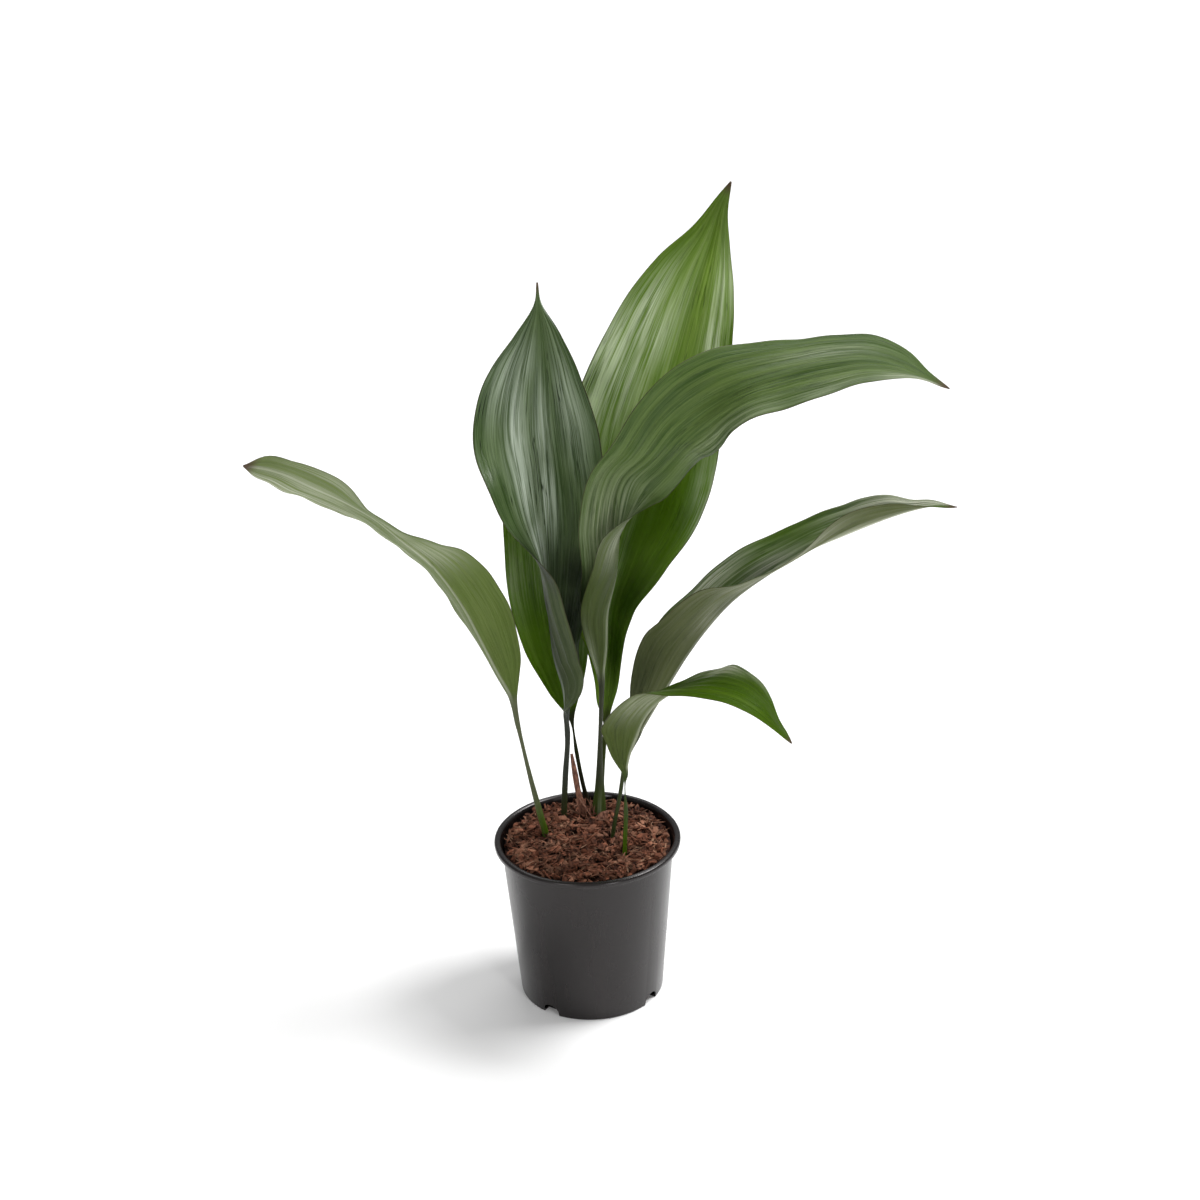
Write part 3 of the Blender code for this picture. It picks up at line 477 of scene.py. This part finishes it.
def leafSurfaces(shape, rows, stations, across, thinSkin=None):
    # Upper and lower grids of a leaf. In each cross-section a half turns by its fold at the midrib and by
    # its curl on the way to the margin: the offset is the integral of (cos, sin) of that angle.
    # Pleats are sines across the blade and the margin's wave is a sine along it, both on the surface normal.
    line = throughKnots(rows, stations)
    spine = line[:, :3] * mm
    tangent = np.gradient(spine, axis=0)
    tangent /= np.linalg.norm(tangent, axis=1, keepdims=True)
    share = np.linspace(0, 1, stations)[:, None]
    face = np.asarray(shape["low"]) * (1 - share) + np.asarray(shape["high"]) * share
    normal = face - (tangent * face).sum(1, keepdims=True) * tangent
    normal /= np.linalg.norm(normal, axis=1, keepdims=True)
    turn = np.radians(line[:, 4])[:, None]
    normal = normal * np.cos(turn) + np.cross(tangent, normal) * np.sin(turn)
    side = np.cross(tangent, normal)

    v = np.sin(np.linspace(-1, 1, across) * pi / 2 * 0.999) * 0.35 + np.linspace(-1, 1, across) * 0.65
    v[0], v[-1], v[across // 2] = -1, 1, 0
    half = np.maximum(line[:, 3], 0.6)[:, None] * mm
    fold = np.radians(np.where(v < 0, line[:, 5:6], line[:, 7:8]))
    curl = np.radians(np.where(v < 0, line[:, 6:7], line[:, 8:9]))
    curl = np.where(abs(curl) < 1e-4, 1e-4, curl)
    reach, hand = abs(v), np.sign(v)
    ease = smoothStep(0, 0.12, reach)       # the fold is a soft bend, not a crease
    angle = fold * ease + curl * reach
    out = half * hand * (np.sin(fold + curl * reach) - np.sin(fold)) / curl
    lift = half * (np.cos(fold) - np.cos(fold + curl * reach)) / curl
    middle = spine[:, None] + out[..., None] * side[:, None] + lift[..., None] * normal[:, None]
    upward = (np.cos(angle)[..., None] * normal[:, None]
              - (hand * np.sin(angle))[..., None] * side[:, None])

    length = np.concatenate(([0], np.cumsum(np.linalg.norm(np.diff(spine, axis=0), axis=1))))[:, None]
    rod = 1 - smoothStep(blade["shut"], blade["spread"], half)
    if thinSkin is None:
        seed = shape["seed"]
        opened = (1 - rod) * smoothStep(1, 0.93, share)
        drift = 0.9 * np.sin(length * 9 + seed)
        broad, fine, finest = blade["pleats"]
        pleats = (np.sin(2 * pi * broad * v + seed + drift) + 0.6 * np.sin(2 * pi * fine * v + 2.1 * seed)
                  + 0.35 * np.sin(2 * pi * finest * v + 0.7 * seed))
        pleats = pleats * smoothStep(0, 0.1, reach) * (1 - reach**6)
        slow, quick = blade["waves"]
        wave = (np.sin(length * 2 * pi / slow + seed + hand)
                + 0.5 * np.sin(length * 2 * pi / quick + hand * seed))
        width = np.minimum(half / blade["full"], 1)
        move = opened * width * mm * (shape["pleat"] * pleats + shape["wave"] * wave * reach**3 * 0.5)
        middle = middle + move[..., None] * upward

    bulge = np.sqrt(np.maximum(1 - v**2, 0.02))
    scale = np.minimum(half / blade["stalkHalf"], 1)
    if thinSkin is None:
        edge = 0.35 + 0.65 * smoothStep(1, 0.94, reach)
        rib = blade["rib"] * np.exp(-(half * v / blade["ribWidth"])**2)
        above = rod * blade["stalkTop"] * bulge * scale + (1 - rod) * (blade["half"] * edge - 0.4 * rib)
        below = rod * blade["stalkUnder"] * bulge * scale + (1 - rod) * (blade["half"] * edge + rib)
        fade = 0.4 + 0.6 * smoothStep(1, 0.9, share)
    else:
        above = below = thinSkin * np.ones_like(out)
        fade = 1.0
    above, below = (above * fade)[..., None], (below * fade)[..., None]
    where = np.stack(np.broadcast_arrays(share, v, half * v), axis=-1)
    return middle + above * upward, middle - below * upward, where, length + 0 * v, rod + 0 * v


def addLeafMesh(name, upper, lower, material):
    # closed skin: each ring runs over the top and back underneath, and both ends are capped
    rings = np.concatenate((upper, lower[:, ::-1]), axis=1)
    return addPiece(name, rings, tubeFaces(*rings.shape[:2]), material)


def zoneMask(spots, where):
    # the strongest of some soft spots: each is strength * exp(-(along / length)^2 - (across / width)^2)
    mask = np.zeros(len(where))
    for share, across, long, wide, strength in spots:
        spot = np.exp(-((where[:, 0] - share) / long)**2 - ((where[:, 1] - across) / wide)**2)
        mask = np.maximum(mask, strength * spot)
    return mask


def paintLeaf(piece, shape, where, length, rod):
    # place and masks for the leaf finish, each upper row followed by the lower one reversed
    mesh = piece.data
    both = np.concatenate((where, where[:, ::-1]), axis=1).reshape(-1, 3)
    far = np.concatenate((length, length[:, ::-1]), axis=1).ravel()
    stalk = np.concatenate((rod, rod[:, ::-1]), axis=1).ravel()
    upper = np.concatenate((np.ones(where.shape[:2]), np.zeros(where.shape[:2])), axis=1).ravel()
    dry = smoothStep(0.975, 0.998, both[:, 0])
    giveValues(piece, "leafWhere", both)
    giveValues(piece, "leafMasks", np.stack((upper, stalk * (both[:, 0] < 0.8), dry), axis=-1))
    zones = [zoneMask(shape.get(kind, ()), both) for kind in ("paintedSheen", "paintedGlow", "paintedShade")]
    giveValues(piece, "leafZones", np.stack(zones, axis=-1))
    corners = np.empty(len(mesh.loops), int)
    mesh.loops.foreach_get("vertex_index", corners)
    uv = np.stack((far, both[:, 1]), axis=-1)[corners]
    mesh.uv_layers.new(name="leafPlace").data.foreach_set("uv", uv.ravel())


def rowsOf(name, shape, lift=0.0):
    # the stations, short rows filled up with zeros, the first one at the height where the solid starts
    rows = [row + (0,) * (9 - len(row)) for row in shape["rows"]]
    rows[0] = (*rows[0][:2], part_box(name)[0][2] / mm + lift, *rows[0][3:])
    return rows


def buildLeaves():
    group = buildLeafGroup(buildVeinGroup())
    for name, shape in leaves.items():
        rows = rowsOf(name, shape, 0.2)
        upper, lower, where, length, rod = leafSurfaces(shape, rows, blade["stations"], blade["across"])
        material = leafMaterial(name.replace("leaf_", "leaf "), group, shape)
        piece = addLeafMesh(name + "_blade", upper, lower, material)
        paintLeaf(piece, shape, where, length, rod)
        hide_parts(name)
    print("leaves:", len(leaves))


# pot

pot = {"height": 157 * mm, "lip": 85.8 * mm, "lipDrop": 5.5 * mm, "bodyTop": 79 * mm, "foot": 66.6 * mm,
       "wall": 1.2 * mm, "floor": 1.5 * mm, "notchWidth": 17 * mm, "notchHeight": 10 * mm,
       "notchDepth": 9 * mm, "notchFoot": 1.5 * mm, "notchAngles": (54, 144, 234, 324), "sides": 180}


def wallAt(z):
    # outer radius of the tapered wall: foot + (top radius - foot) * z / height of the taper
    return pot["foot"] + (pot["bodyTop"] - pot["foot"]) / (pot["height"] - pot["lipDrop"]) * z


def roundedProfile(corners, steps=5):
    # every inner corner (radius, height, bend) gives way to a quadratic curve that starts bend before it
    points = [np.array(corners[0][:2])]
    for before, here, after in zip(corners, corners[1:], corners[2:]):
        b, h, a = (np.array(c[:2]) for c in (before, here, after))
        back, on = np.linalg.norm(b - h), np.linalg.norm(a - h)
        size = min(here[2], back * 0.48, on * 0.48)
        start, end = h + (b - h) / back * size, h + (a - h) / on * size
        for t in np.linspace(0, 1, steps):
            points.append(start * (1 - t)**2 + h * 2 * t * (1 - t) + end * t**2)
    return np.array(points + [np.array(corners[-1][:2])])


def buildPotMaterial():
    # black moulded plastic: faint flow marks round it, fine upright scuffs, slightly greyer where handled
    material, tree, shader = makeMaterial("pot plastic")
    place = objectPlace(tree)
    fine = noise(tree, place, 900.0, 2.0)
    squeezed = addNode(tree, "ShaderNodeMapping", inputs={"Vector": place, "Scale": (1, 1, 0.07)}).outputs[0]
    scuffs = noise(tree, squeezed, 55.0, 4.0, 0.65)
    cloud = noise(tree, place, 14.0, 3.0)
    share = calc(tree, "MULTIPLY_ADD", between(tree, scuffs, 0.45, 0.75), 0.5,
                 times(tree, between(tree, cloud, 0.4, 0.7), 0.35))
    tree.links.new(blendColour(tree, share, rgb(10, 7, 7), rgb(20, 15, 14)), shader.inputs["Base Color"])
    tree.links.new(calc(tree, "MULTIPLY_ADD", share, 0.14, 0.24), shader.inputs["Roughness"])
    height = calc(tree, "MULTIPLY_ADD", scuffs, 0.6, times(tree, fine, 0.25))
    addBump(tree, height, 0.25 * mm, 0.12, shader)
    shader.inputs["Specular Tint"].default_value = (0.9, 0.86, 0.86, 1)
    return material


def buildPot():
    # The profile is turned round Z. radius, height and bend of each corner: outside from the foot up,
    # over the rolled lip and down inside.
    top, wall, lip, neck = pot["height"], pot["wall"], pot["lip"], pot["bodyTop"]
    corners = (
        (0.2 * mm, 0, 0), (wallAt(0) - 0.3 * mm, 0, 1.6 * mm),
        (wallAt(top - 10 * mm), top - 10 * mm, 3 * mm),
        (neck + 0.4 * mm, top - 6 * mm, 1.5 * mm), (neck + 1.8 * mm, top - 3.2 * mm, 1.2 * mm),
        (lip - 3.2 * mm, top - 2.6 * mm, 0.8 * mm), (lip - 2.3 * mm, top - 5.4 * mm, 0.6 * mm),
        (lip - 0.6 * mm, top - 5.4 * mm, 0.9 * mm), (lip - 0.1 * mm, top - 2.2 * mm, 1.6 * mm),
        (lip - 1.2 * mm, top - 0.5 * mm, 1.2 * mm), (lip - 3.9 * mm, top - 0.05 * mm, 1.6 * mm),
        (lip - 5.6 * mm, top - 1 * mm, 1 * mm), (neck + 0.1 * mm, top - 3 * mm, 1 * mm),
        (wallAt(top - 10 * mm) - wall, top - 10 * mm, 2 * mm), (wallAt(3 * mm) - wall, 3 * mm, 1 * mm),
        (wallAt(0) - 3 * mm, pot["floor"], 0.8 * mm), (0.2 * mm, pot["floor"], 0))
    profile = roundedProfile(corners)
    around = np.arange(pot["sides"]) * 2 * pi / pot["sides"]
    radius, height = profile[:, 0][:, None], profile[:, 1][:, None]
    points = np.stack((radius * np.sin(around), -radius * np.cos(around), height + 0 * around), axis=-1)
    piece = addPiece("pot_body", points, tubeFaces(len(profile), pot["sides"]), buildPotMaterial())

    cutters = []
    for angle in pot["notchAngles"]:
        # an arch along the radius: half an ellipse over a short straight foot
        t = np.linspace(0, pi, 15)
        rise = pot["notchFoot"] + (pot["notchHeight"] - pot["notchFoot"]) * np.sin(t)**0.8
        arch = np.stack((pot["notchWidth"] / 2 * np.cos(t), rise), axis=-1)
        below = np.array((0, 3 * mm))
        arch = np.concatenate((arch[:1] * (1, 0) - below, arch, arch[-1:] * (1, 0) - below))
        near, far = pot["foot"] - pot["notchDepth"], pot["foot"] + 6 * mm
        a = radians(angle)
        across, outward = np.array((cos(a), sin(a))), np.array((sin(a), -cos(a)))
        rings = [np.concatenate((arch[:, :1] * across + r * outward, arch[:, 1:]), axis=1)
                 for r in (near, far)]
        cutter = addPiece("notch_cutter", rings, tubeFaces(2, len(arch)), body=None, smooth=False)
        cut = piece.modifiers.new("notch", "BOOLEAN")
        cut.operation, cut.solver, cut.object = "DIFFERENCE", "EXACT", cutter
        cutters.append(cutter)
    evaluated = piece.evaluated_get(bpy.context.evaluated_depsgraph_get())
    finished = bpy.data.meshes.new_from_object(evaluated)
    piece.modifiers.clear()
    piece.data = finished
    finished.shade_smooth()
    finished.set_sharp_from_angle(angle=radians(35))
    for cutter in cutters:
        bpy.data.objects.remove(cutter)
    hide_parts("nursery_pot")
    print("pot:", len(finished.polygons), "faces")


# bark mix

mix = {"edge": 149.5 * mm, "crown": 150.5 * mm, "radius": 77.3 * mm, "gap": 0.6 * mm,
       "bottom": 1.9 * mm, "sides": 160, "rings": 60, "seed": 4, "litterReach": 74.1 * mm,
       "threads": 130, "threadReach": 68.3 * mm}

# loose litter: how many, then length, width and thickness in millimetres, tip in radians, rise above the
# mix in millimetres, and the bark it is made of
litter = {
    "bark_litter": (950, (6, 14), (3, 7.5), (0.6, 1.3), 0.75, (1, 4.8), "bark"),
    "bark_slabs": (50, (12, 20), (6, 10), (0.8, 1.6), 0.35, (3, 5.2), "bark"),
    "bark_shreds": (46, (9, 20), (0.9, 2), (0.3, 0.6), 0.45, (3.5, 5.5), "pale"),
    "bark_specks": (18, (3.5, 6.5), (3, 4.5), (1, 2), 0.3, (4, 5), "pale"),
    "bark_slivers": (300, (9, 24), (1.2, 2.8), (0.5, 1), 0.4, (2, 5), "bark"),
    "bark_crumbs": (500, (1.2, 3.4), (1, 2.4), (0.8, 1.8), 0.8, (0.5, 4), "deep"),
}


def soilHeight(x, y):
    # shallow dome: crown - (crown - edge) * (r / wall radius) squared
    return mix["crown"] - (mix["crown"] - mix["edge"]) * (x * x + y * y) / mix["radius"]**2


def circle(radius, around, height):
    # level ring: (radius cos a, radius sin a, height)
    return np.stack((radius * np.cos(around), radius * np.sin(around), height + 0 * around), axis=-1)


def keepIn(points):
    # whatever reaches past the pot's wall is drawn straight back towards the middle
    far = np.hypot(points[..., 0], points[..., 1])[..., None]
    points[..., :2] *= np.minimum(1, (mix["radius"] - mix["gap"]) / far)


def barkMaterial(name, dark, mid, pale, scale=160.0):
    # reddish bark: fibres along a random grain, darker hollows, a few pale broken faces, a tone per piece
    material, tree, shader = makeMaterial(name)
    place = objectPlace(tree)
    grain = noise(tree, place, scale, 3.0, 0.6, 0.8)
    cells = addNode(tree, "ShaderNodeTexVoronoi", inputs={"Vector": place, "Scale": scale * 0.9})
    pick = addNode(tree, "ShaderNodeSeparateColor", inputs={0: cells.outputs["Color"]}).outputs[0]
    colour = blendColour(tree, between(tree, grain, 0.3, 0.7), dark, mid)
    colour = blendColour(tree, times(tree, between(tree, pick, 0.55, 1.0), 0.55), colour, pale)
    tone = addNode(tree, "ShaderNodeAttribute", attribute_name="tone").outputs["Fac"]
    tree.links.new(blendColour(tree, tone, rgb(14, 6, 4), colour), shader.inputs["Base Color"])
    tree.links.new(calc(tree, "MULTIPLY_ADD", grain, 0.2, 0.68), shader.inputs["Roughness"])
    addBump(tree, grain, 0.8 * mm, 0.6, shader)
    shader.inputs["Specular IOR Level"].default_value = 0.15
    return material


def giveTone(piece, tones):
    # one tone for every point of a shape, the shapes being stored one after another
    giveValues(piece, "tone", np.repeat(tones, len(piece.data.vertices) // len(tones)))


def flakeShapes(count, chance, long, wide, thick, sides=8):
    # many angular flakes at the origin: a random outline repeated as underside, waist and top, top drawn in
    around = np.arange(sides) * 2 * pi / sides + chance.uniform(-0.25, 0.25, (count, sides))
    radius = chance.uniform(0.6, 1.0, (count, sides))
    sizes = [chance.uniform(*span, count) for span in (long, wide, thick)]
    sizes = np.stack(sizes, axis=-1)[:, None] * mm / 2
    outline = np.stack((np.cos(around) * radius, np.sin(around) * radius), axis=-1)
    rings = []
    for level, draw in ((-1, 0.75), (-0.2, 1.0), (0.6, 0.93), (1.0, 0.55)):
        lean = chance.uniform(-0.12, 0.12, (count, 1, 2))
        ring = np.concatenate((outline * draw + lean, np.full((count, sides, 1), level)), axis=-1)
        ring[..., 2] += chance.uniform(-0.25, 0.25, (count, sides))
        rings.append(ring * sizes)
    return np.stack(rings, axis=1)          # count, rings, sides, 3


def turned(points, yaw, pitch, roll):
    # each shape turned by its own roll about X, pitch about Y and yaw about Z
    for angle, a, b in ((roll, 1, 2), (pitch, 2, 0), (yaw, 0, 1)):
        c, s = (f(angle).reshape(-1, *[1] * (points.ndim - 2)) for f in (np.cos, np.sin))
        first, second = points[..., a] * c - points[..., b] * s, points[..., a] * s + points[..., b] * c
        points = points.copy()
        points[..., a], points[..., b] = first, second
    return points


def shapeFaces(count, rings, sides):
    # the walls of all the shapes, then their caps
    faces = tubeFaces(rings, sides)
    shift = np.arange(count)[:, None, None] * rings * sides
    walls = (np.array(faces[:-2])[None] + shift).reshape(-1, 4).tolist()
    return walls + (np.array(faces[-2:])[None] + shift).reshape(-1, sides).tolist()


def scatter(count, chance, keepOff, reach):
    # places spread evenly over the disc, r = R sqrt(random), none on a stalk
    radius = reach * np.sqrt(chance.uniform(0, 1, count * 2))
    around = chance.uniform(0, 2 * pi, count * 2)
    spots = np.stack((radius * np.cos(around), radius * np.sin(around)), axis=-1)
    clear = np.ones(len(spots), bool)
    for x, y, r in keepOff:
        clear &= (spots[:, 0] - x)**2 + (spots[:, 1] - y)**2 > r**2
    return spots[clear][:count]


def buildMixBody(material):
    # a rough dome, soilHeight plus two ripples, whose skirt follows the pot's wall down to its floor
    around = np.arange(mix["sides"]) * 2 * pi / mix["sides"]
    radii = np.linspace(0.4 * mm, mix["radius"] - 1.0 * mm, mix["rings"])[:, None]
    x, y = radii * np.cos(around), radii * np.sin(around)
    top = np.stack((x, y, soilHeight(x, y)), axis=-1)
    top[..., 2] += 0.9 * mm * ripple(top, 7 * mm, 1) + 0.5 * mm * ripple(top, 3 * mm, 2) - 0.6 * mm
    skirt = [circle(wallAt(height) - pot["wall"] - 0.5 * mm, around, height)
             for height in (120 * mm, 60 * mm, mix["bottom"] + 9 * mm)]
    skirt.append(circle(pot["foot"] - 11 * mm, around, mix["bottom"]))
    rings = np.concatenate((top, np.array(skirt)))[::-1]
    piece = addPiece("mix_body", rings, tubeFaces(len(rings), mix["sides"]), material)
    giveTone(piece, np.array([0.5]))
    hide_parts("potting_mix")


def buildFibres(chance, stalks, material):
    # pale fibres, thinner at both ends: start + way * (t - 1/2) + bend * (t - t^2), t from 0 to 1
    spots = scatter(mix["threads"], chance, stalks, mix["threadReach"])
    count, steps, sides = len(spots), 8, 4
    t = np.linspace(0, 1, steps)[None, :, None]
    heading = chance.uniform(0, 2 * pi, count)
    long = chance.uniform(7, 18, count) * mm
    c, s = np.cos(heading), np.sin(heading)
    way = np.stack((c, s, chance.uniform(-0.05, 0.2, count)), axis=-1)[:, None]
    bend = np.stack((-s, c, chance.uniform(0.1, 0.9, count)), axis=-1)[:, None]
    level = soilHeight(*spots.T) + chance.uniform(3, 5, count) * mm
    start = np.concatenate((spots, level[:, None]), axis=1)
    line = (start[:, None] + way * (t - 0.5) * long[:, None, None]
            + bend * (t - t * t) * (long * chance.uniform(0.1, 0.9, count))[:, None, None])
    around = (np.arange(sides) * 2 * pi / sides)[None, None, :, None]
    thick = (chance.uniform(0.18, 0.38, count) * mm)[:, None, None] * (1 - 0.6 * abs(2 * t - 1)**3)
    ring = bend[:, :, None] * np.cos(around) * 0.8 + np.array((0, 0, 1.0)) * np.sin(around)
    tubes = line[:, :, None] + ring * thick[..., None]
    keepIn(tubes)
    piece = addPiece("bark_fibres", tubes, shapeFaces(count, steps, sides), material, smooth=False)
    giveTone(piece, chance.uniform(0.5, 1.0, count))


def buildMix(stalks):
    chance = np.random.default_rng(mix["seed"])
    barks = {
        "bark": barkMaterial("bark litter", rgb(64, 33, 20), rgb(140, 88, 66), rgb(186, 136, 110)),
        "deep": barkMaterial("bark fines", rgb(30, 15, 10), rgb(84, 49, 37), rgb(110, 74, 60), 260.0),
        "pale": barkMaterial("bark fibre", rgb(104, 72, 54), rgb(150, 112, 88), rgb(186, 150, 124), 200.0)}
    buildMixBody(barks["deep"])
    # each kind of litter is tipped every way and lies in the top few millimetres
    for name, (wanted, long, wide, thick, tip, rise, kind) in litter.items():
        spots = scatter(wanted, chance, stalks, mix["litterReach"])
        count = len(spots)
        shapes = flakeShapes(count, chance, long, wide, thick)
        shapes = turned(shapes, chance.uniform(0, 2 * pi, count), chance.normal(0, tip, count) * 0.7,
                        chance.normal(0, tip, count))
        level = soilHeight(*spots.T) + chance.uniform(*rise, count) * mm
        shapes += np.concatenate((spots, level[:, None]), axis=1)[:, None, None]
        keepIn(shapes)
        piece = addPiece(name, shapes, shapeFaces(*shapes.shape[:3]), barks[kind], smooth=False)
        giveTone(piece, chance.uniform(0.3, 1.0, count))
    buildFibres(chance, stalks, barks["pale"])
    print("mix: body, fibres and", len(litter), "kinds of litter")
    return barks["bark"]


def buildChips(bark):
    # each large chip stands for its solid: a hair within the same box, split-edged and layered like bark
    for number, name in enumerate(sorted(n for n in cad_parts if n.startswith("bark_chip_"))):
        low, high = (np.array(c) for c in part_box(name))
        size, centre = high - low, (high + low) / 2
        sides, levels = 28, 9
        around = np.arange(sides) * 2 * pi / sides
        up = np.linspace(-1, 1, levels)[:, None]
        # superellipse outline |x|^3.4 + |y|^3.4 = 1 with random bites, pulled in at top and bottom
        power = 2 / 3.4
        x, y = (np.sign(f) * abs(f)**power for f in (np.cos(around), np.sin(around)))
        bite = 1 - 0.16 * abs(ripple(np.stack((x, y, 0 * around), axis=-1), 0.9, 50 + number))
        draw = (1 - 0.35 * abs(up)**5) * bite
        points = np.stack((draw * x, draw * y, up + 0 * around), axis=-1)
        points[..., 2] += 0.1 * ripple(points, 0.8, 70 + number)
        reach = abs(points).max(axis=(0, 1))
        points = points / reach * size / 2 * 0.985 + centre
        piece = addPiece(name + "_bark", points, tubeFaces(levels, sides), bark, smooth=False)
        giveTone(piece, np.array([0.85]))
        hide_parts(name)
    print("chips done")


# dry sheaths

sheaths = {
    "dry_sheath_tall": dict(low=(0, 1, 0), high=(0, 1, 0), seed=2, rows=(
        (-2, 47, 0, 7, 0, 20, 40, 20, 40), (-3.5, 48, 158, 4.6, 0, 20, 40, 20, 40),
        (-7, 51, 174, 3, 0, 15, 30, 15, 30), (-9.5, 54, 193, 2.6, 0, 10, 10, 10, 10),
        (-12, 57, 212, 1.2, 0, 10, 10, 10, 10))),
    "dry_sheath_low": dict(low=(0, 1, 0), high=(0, 1, 0), seed=6, rows=(
        (13, 30, 0, 7.5, 0, 15, 35, 15, 35), (13.5, 31, 154, 7, 0, 15, 35, 15, 35),
        (16, 32.5, 159, 4.5, 0, 10, 25, 10, 25), (20, 34, 163, .9))),
}

# length, width and thickness, then the box of x, y and z they start from, in millimetres
strips = {"count": 22, "seed": 11, "tip": (1.35, 0.22), "sizes": ((12, 30), (1, 2.6), (0.3, 0.6)),
          "where": ((-8, 8), (43, 51), (154, 163))}


def buildSheaths():
    material, tree, shader = makeMaterial("dry sheath")
    pulled = addNode(tree, "ShaderNodeMapping", inputs={"Vector": objectPlace(tree), "Scale": (1, 1, 0.08)})
    fibre = noise(tree, pulled.outputs[0], 900.0, 3.0)
    colour = blendColour(tree, between(tree, fibre, 0.35, 0.65), rgb(88, 52, 38), rgb(150, 104, 82))
    tree.links.new(colour, shader.inputs["Base Color"])
    shader.inputs["Roughness"].default_value = 0.72
    addBump(tree, fibre, 0.6 * mm, 0.8, shader)
    for name, shape in sheaths.items():
        upper, lower, *_ = leafSurfaces(shape, rowsOf(name, shape), 60, 25, thinSkin=0.3 * mm)
        foot = soilHeight(upper[0, :, 0], upper[0, :, 1]) + 0.4 * mm
        for grid in (upper, lower):
            grid[0, :, 2] = foot
            # torn, crinkled paper: a little in and out
            grid[..., 1] += 0.4 * mm * ripple(grid, 5 * mm, shape["seed"])
        piece = addLeafMesh(name + "_paper", upper, lower, material)
        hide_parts(name)
    # torn base: strips standing up round the foot of the tall one
    chance = np.random.default_rng(strips["seed"])
    count = strips["count"]
    shapes = flakeShapes(count, chance, *strips["sizes"])
    shapes = turned(shapes, chance.uniform(-0.6, 0.6, count), chance.normal(*strips["tip"], count),
                    chance.uniform(-1, 1, count))
    spots = np.stack([chance.uniform(*span, count) for span in strips["where"]], axis=-1) * mm
    shapes += spots[:, None, None]
    piece = addPiece("sheath_strips", shapes, shapeFaces(*shapes.shape[:3]), material, smooth=False)
    print("sheaths:", len(sheaths), "and", count, "strips")


def finishRhizome():
    material, tree, shader = makeMaterial("rhizome skin")
    rings = noise(tree, objectPlace(tree), 240.0, 4.0)
    colour = blendColour(tree, rings, rgb(96, 74, 50), rgb(176, 150, 112))
    tree.links.new(colour, shader.inputs["Base Color"])
    shader.inputs["Roughness"].default_value = 0.75
    addBump(tree, rings, 0.8 * mm, 1.0, shader)
    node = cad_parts["rhizome"]
    node = bpy.data.objects[node] if isinstance(node, str) else node
    for slot in node.material_slots:
        slot.material = material
    print("rhizome coloured")


# stage

stage = {"camera": (0, -1.993, 1.311), "pitch": 24.7, "yaw": 0.53, "roll": -1.81, "lens": 75,
         "sky": 0.46, "horizon": 0.28, "floor": 14.0, "sun": 3.05, "sunAngle": 26,
         "sunFrom": (1.5, 0.4, 2.6), "sunTo": (0, 0, 0.3), "boxesTo": (0, 0, 0.4),
         "boxes": (("front left softbox", 0.5, 1.3, 11, (-1.0, -1.8, 1.3)),
                   ("front right softbox", 0.3, 1.3, 9, (0.95, -1.85, 0.9)),
                   ("back softbox", 1.4, 0.7, 12, (0.2, 1.3, 1.9)))}


def buildStage():
    material, tree, shader = makeMaterial("floor white")
    shader.inputs["Base Color"].default_value = (0.93, 0.93, 0.93, 1)
    shader.inputs["Roughness"].default_value = 0.9
    shader.inputs["Specular IOR Level"].default_value = 0.1
    far = stage["floor"]
    corners = ((-far, -far, 0), (far, -far, 0), (far, far, 0), (-far, far, 0))
    floor = addPiece("floor", corners, [(0, 1, 2, 3)], material, body=None)

    world = bpy.data.worlds.new("white room")
    bpy.context.scene.world = world
    world.use_nodes = True
    # the backdrop is white; what lights the plant is dimmer near the horizon than overhead
    tree = world.node_tree
    background = tree.nodes["Background"]
    up = split(tree, addNode(tree, "ShaderNodeTexCoord").outputs["Generated"])[2]
    level = between(tree, up, 0.0, 0.9)
    soft = calc(tree, "MULTIPLY_ADD", level, stage["sky"] - stage["horizon"], stage["horizon"])
    seen = addNode(tree, "ShaderNodeLightPath").outputs["Is Camera Ray"]
    tree.links.new(calc(tree, "MAXIMUM", soft, seen), background.inputs["Strength"])
    background.inputs["Color"].default_value = (1, 1, 1, 1)

    def aim(light, position, target):
        holder = bpy.data.objects.new(light.name, light)
        holder.location = position
        way = np.array(position, float) - np.array(target, float)
        z = way / np.linalg.norm(way)
        x = np.cross((0, 0, 1), z)
        x /= np.linalg.norm(x)
        turn = Matrix(np.stack((x, np.cross(z, x), z), axis=-1).tolist())
        holder.rotation_euler = turn.to_euler()
        bpy.context.scene.collection.objects.link(holder)

    key = bpy.data.lights.new("key", "SUN")
    key.energy = stage["sun"]
    key.angle = radians(stage["sunAngle"])
    aim(key, stage["sunFrom"], stage["sunTo"])
    for name, width, height, power, position in stage["boxes"]:
        light = bpy.data.lights.new(name, "AREA")
        light.shape, light.size, light.size_y, light.energy = "RECTANGLE", width, height, power
        aim(light, position, stage["boxesTo"])

    lens = bpy.data.cameras.new("camera")
    lens.lens, lens.sensor_width = stage["lens"], 36
    camera = bpy.data.objects.new("camera", lens)
    placed = Matrix.Translation(stage["camera"])
    for angle, axis in ((-stage["yaw"], "Z"), (90 - stage["pitch"], "X"), (stage["roll"], "Z")):
        placed = placed @ Matrix.Rotation(radians(angle), 4, axis)
    camera.matrix_world = placed
    bpy.context.scene.collection.objects.link(camera)
    bpy.context.scene.camera = camera
    bpy.context.scene.view_settings.view_transform = "Standard"
    print("stage set")


buildStage()
buildLeaves()
buildPot()
stalkRows = [shape["rows"][1] for shape in leaves.values()]
bark = buildMix([(row[0] * mm, row[1] * mm, (row[3] + 0.9) * mm) for row in stalkRows])
buildChips(bark)
buildSheaths()
finishRhizome()
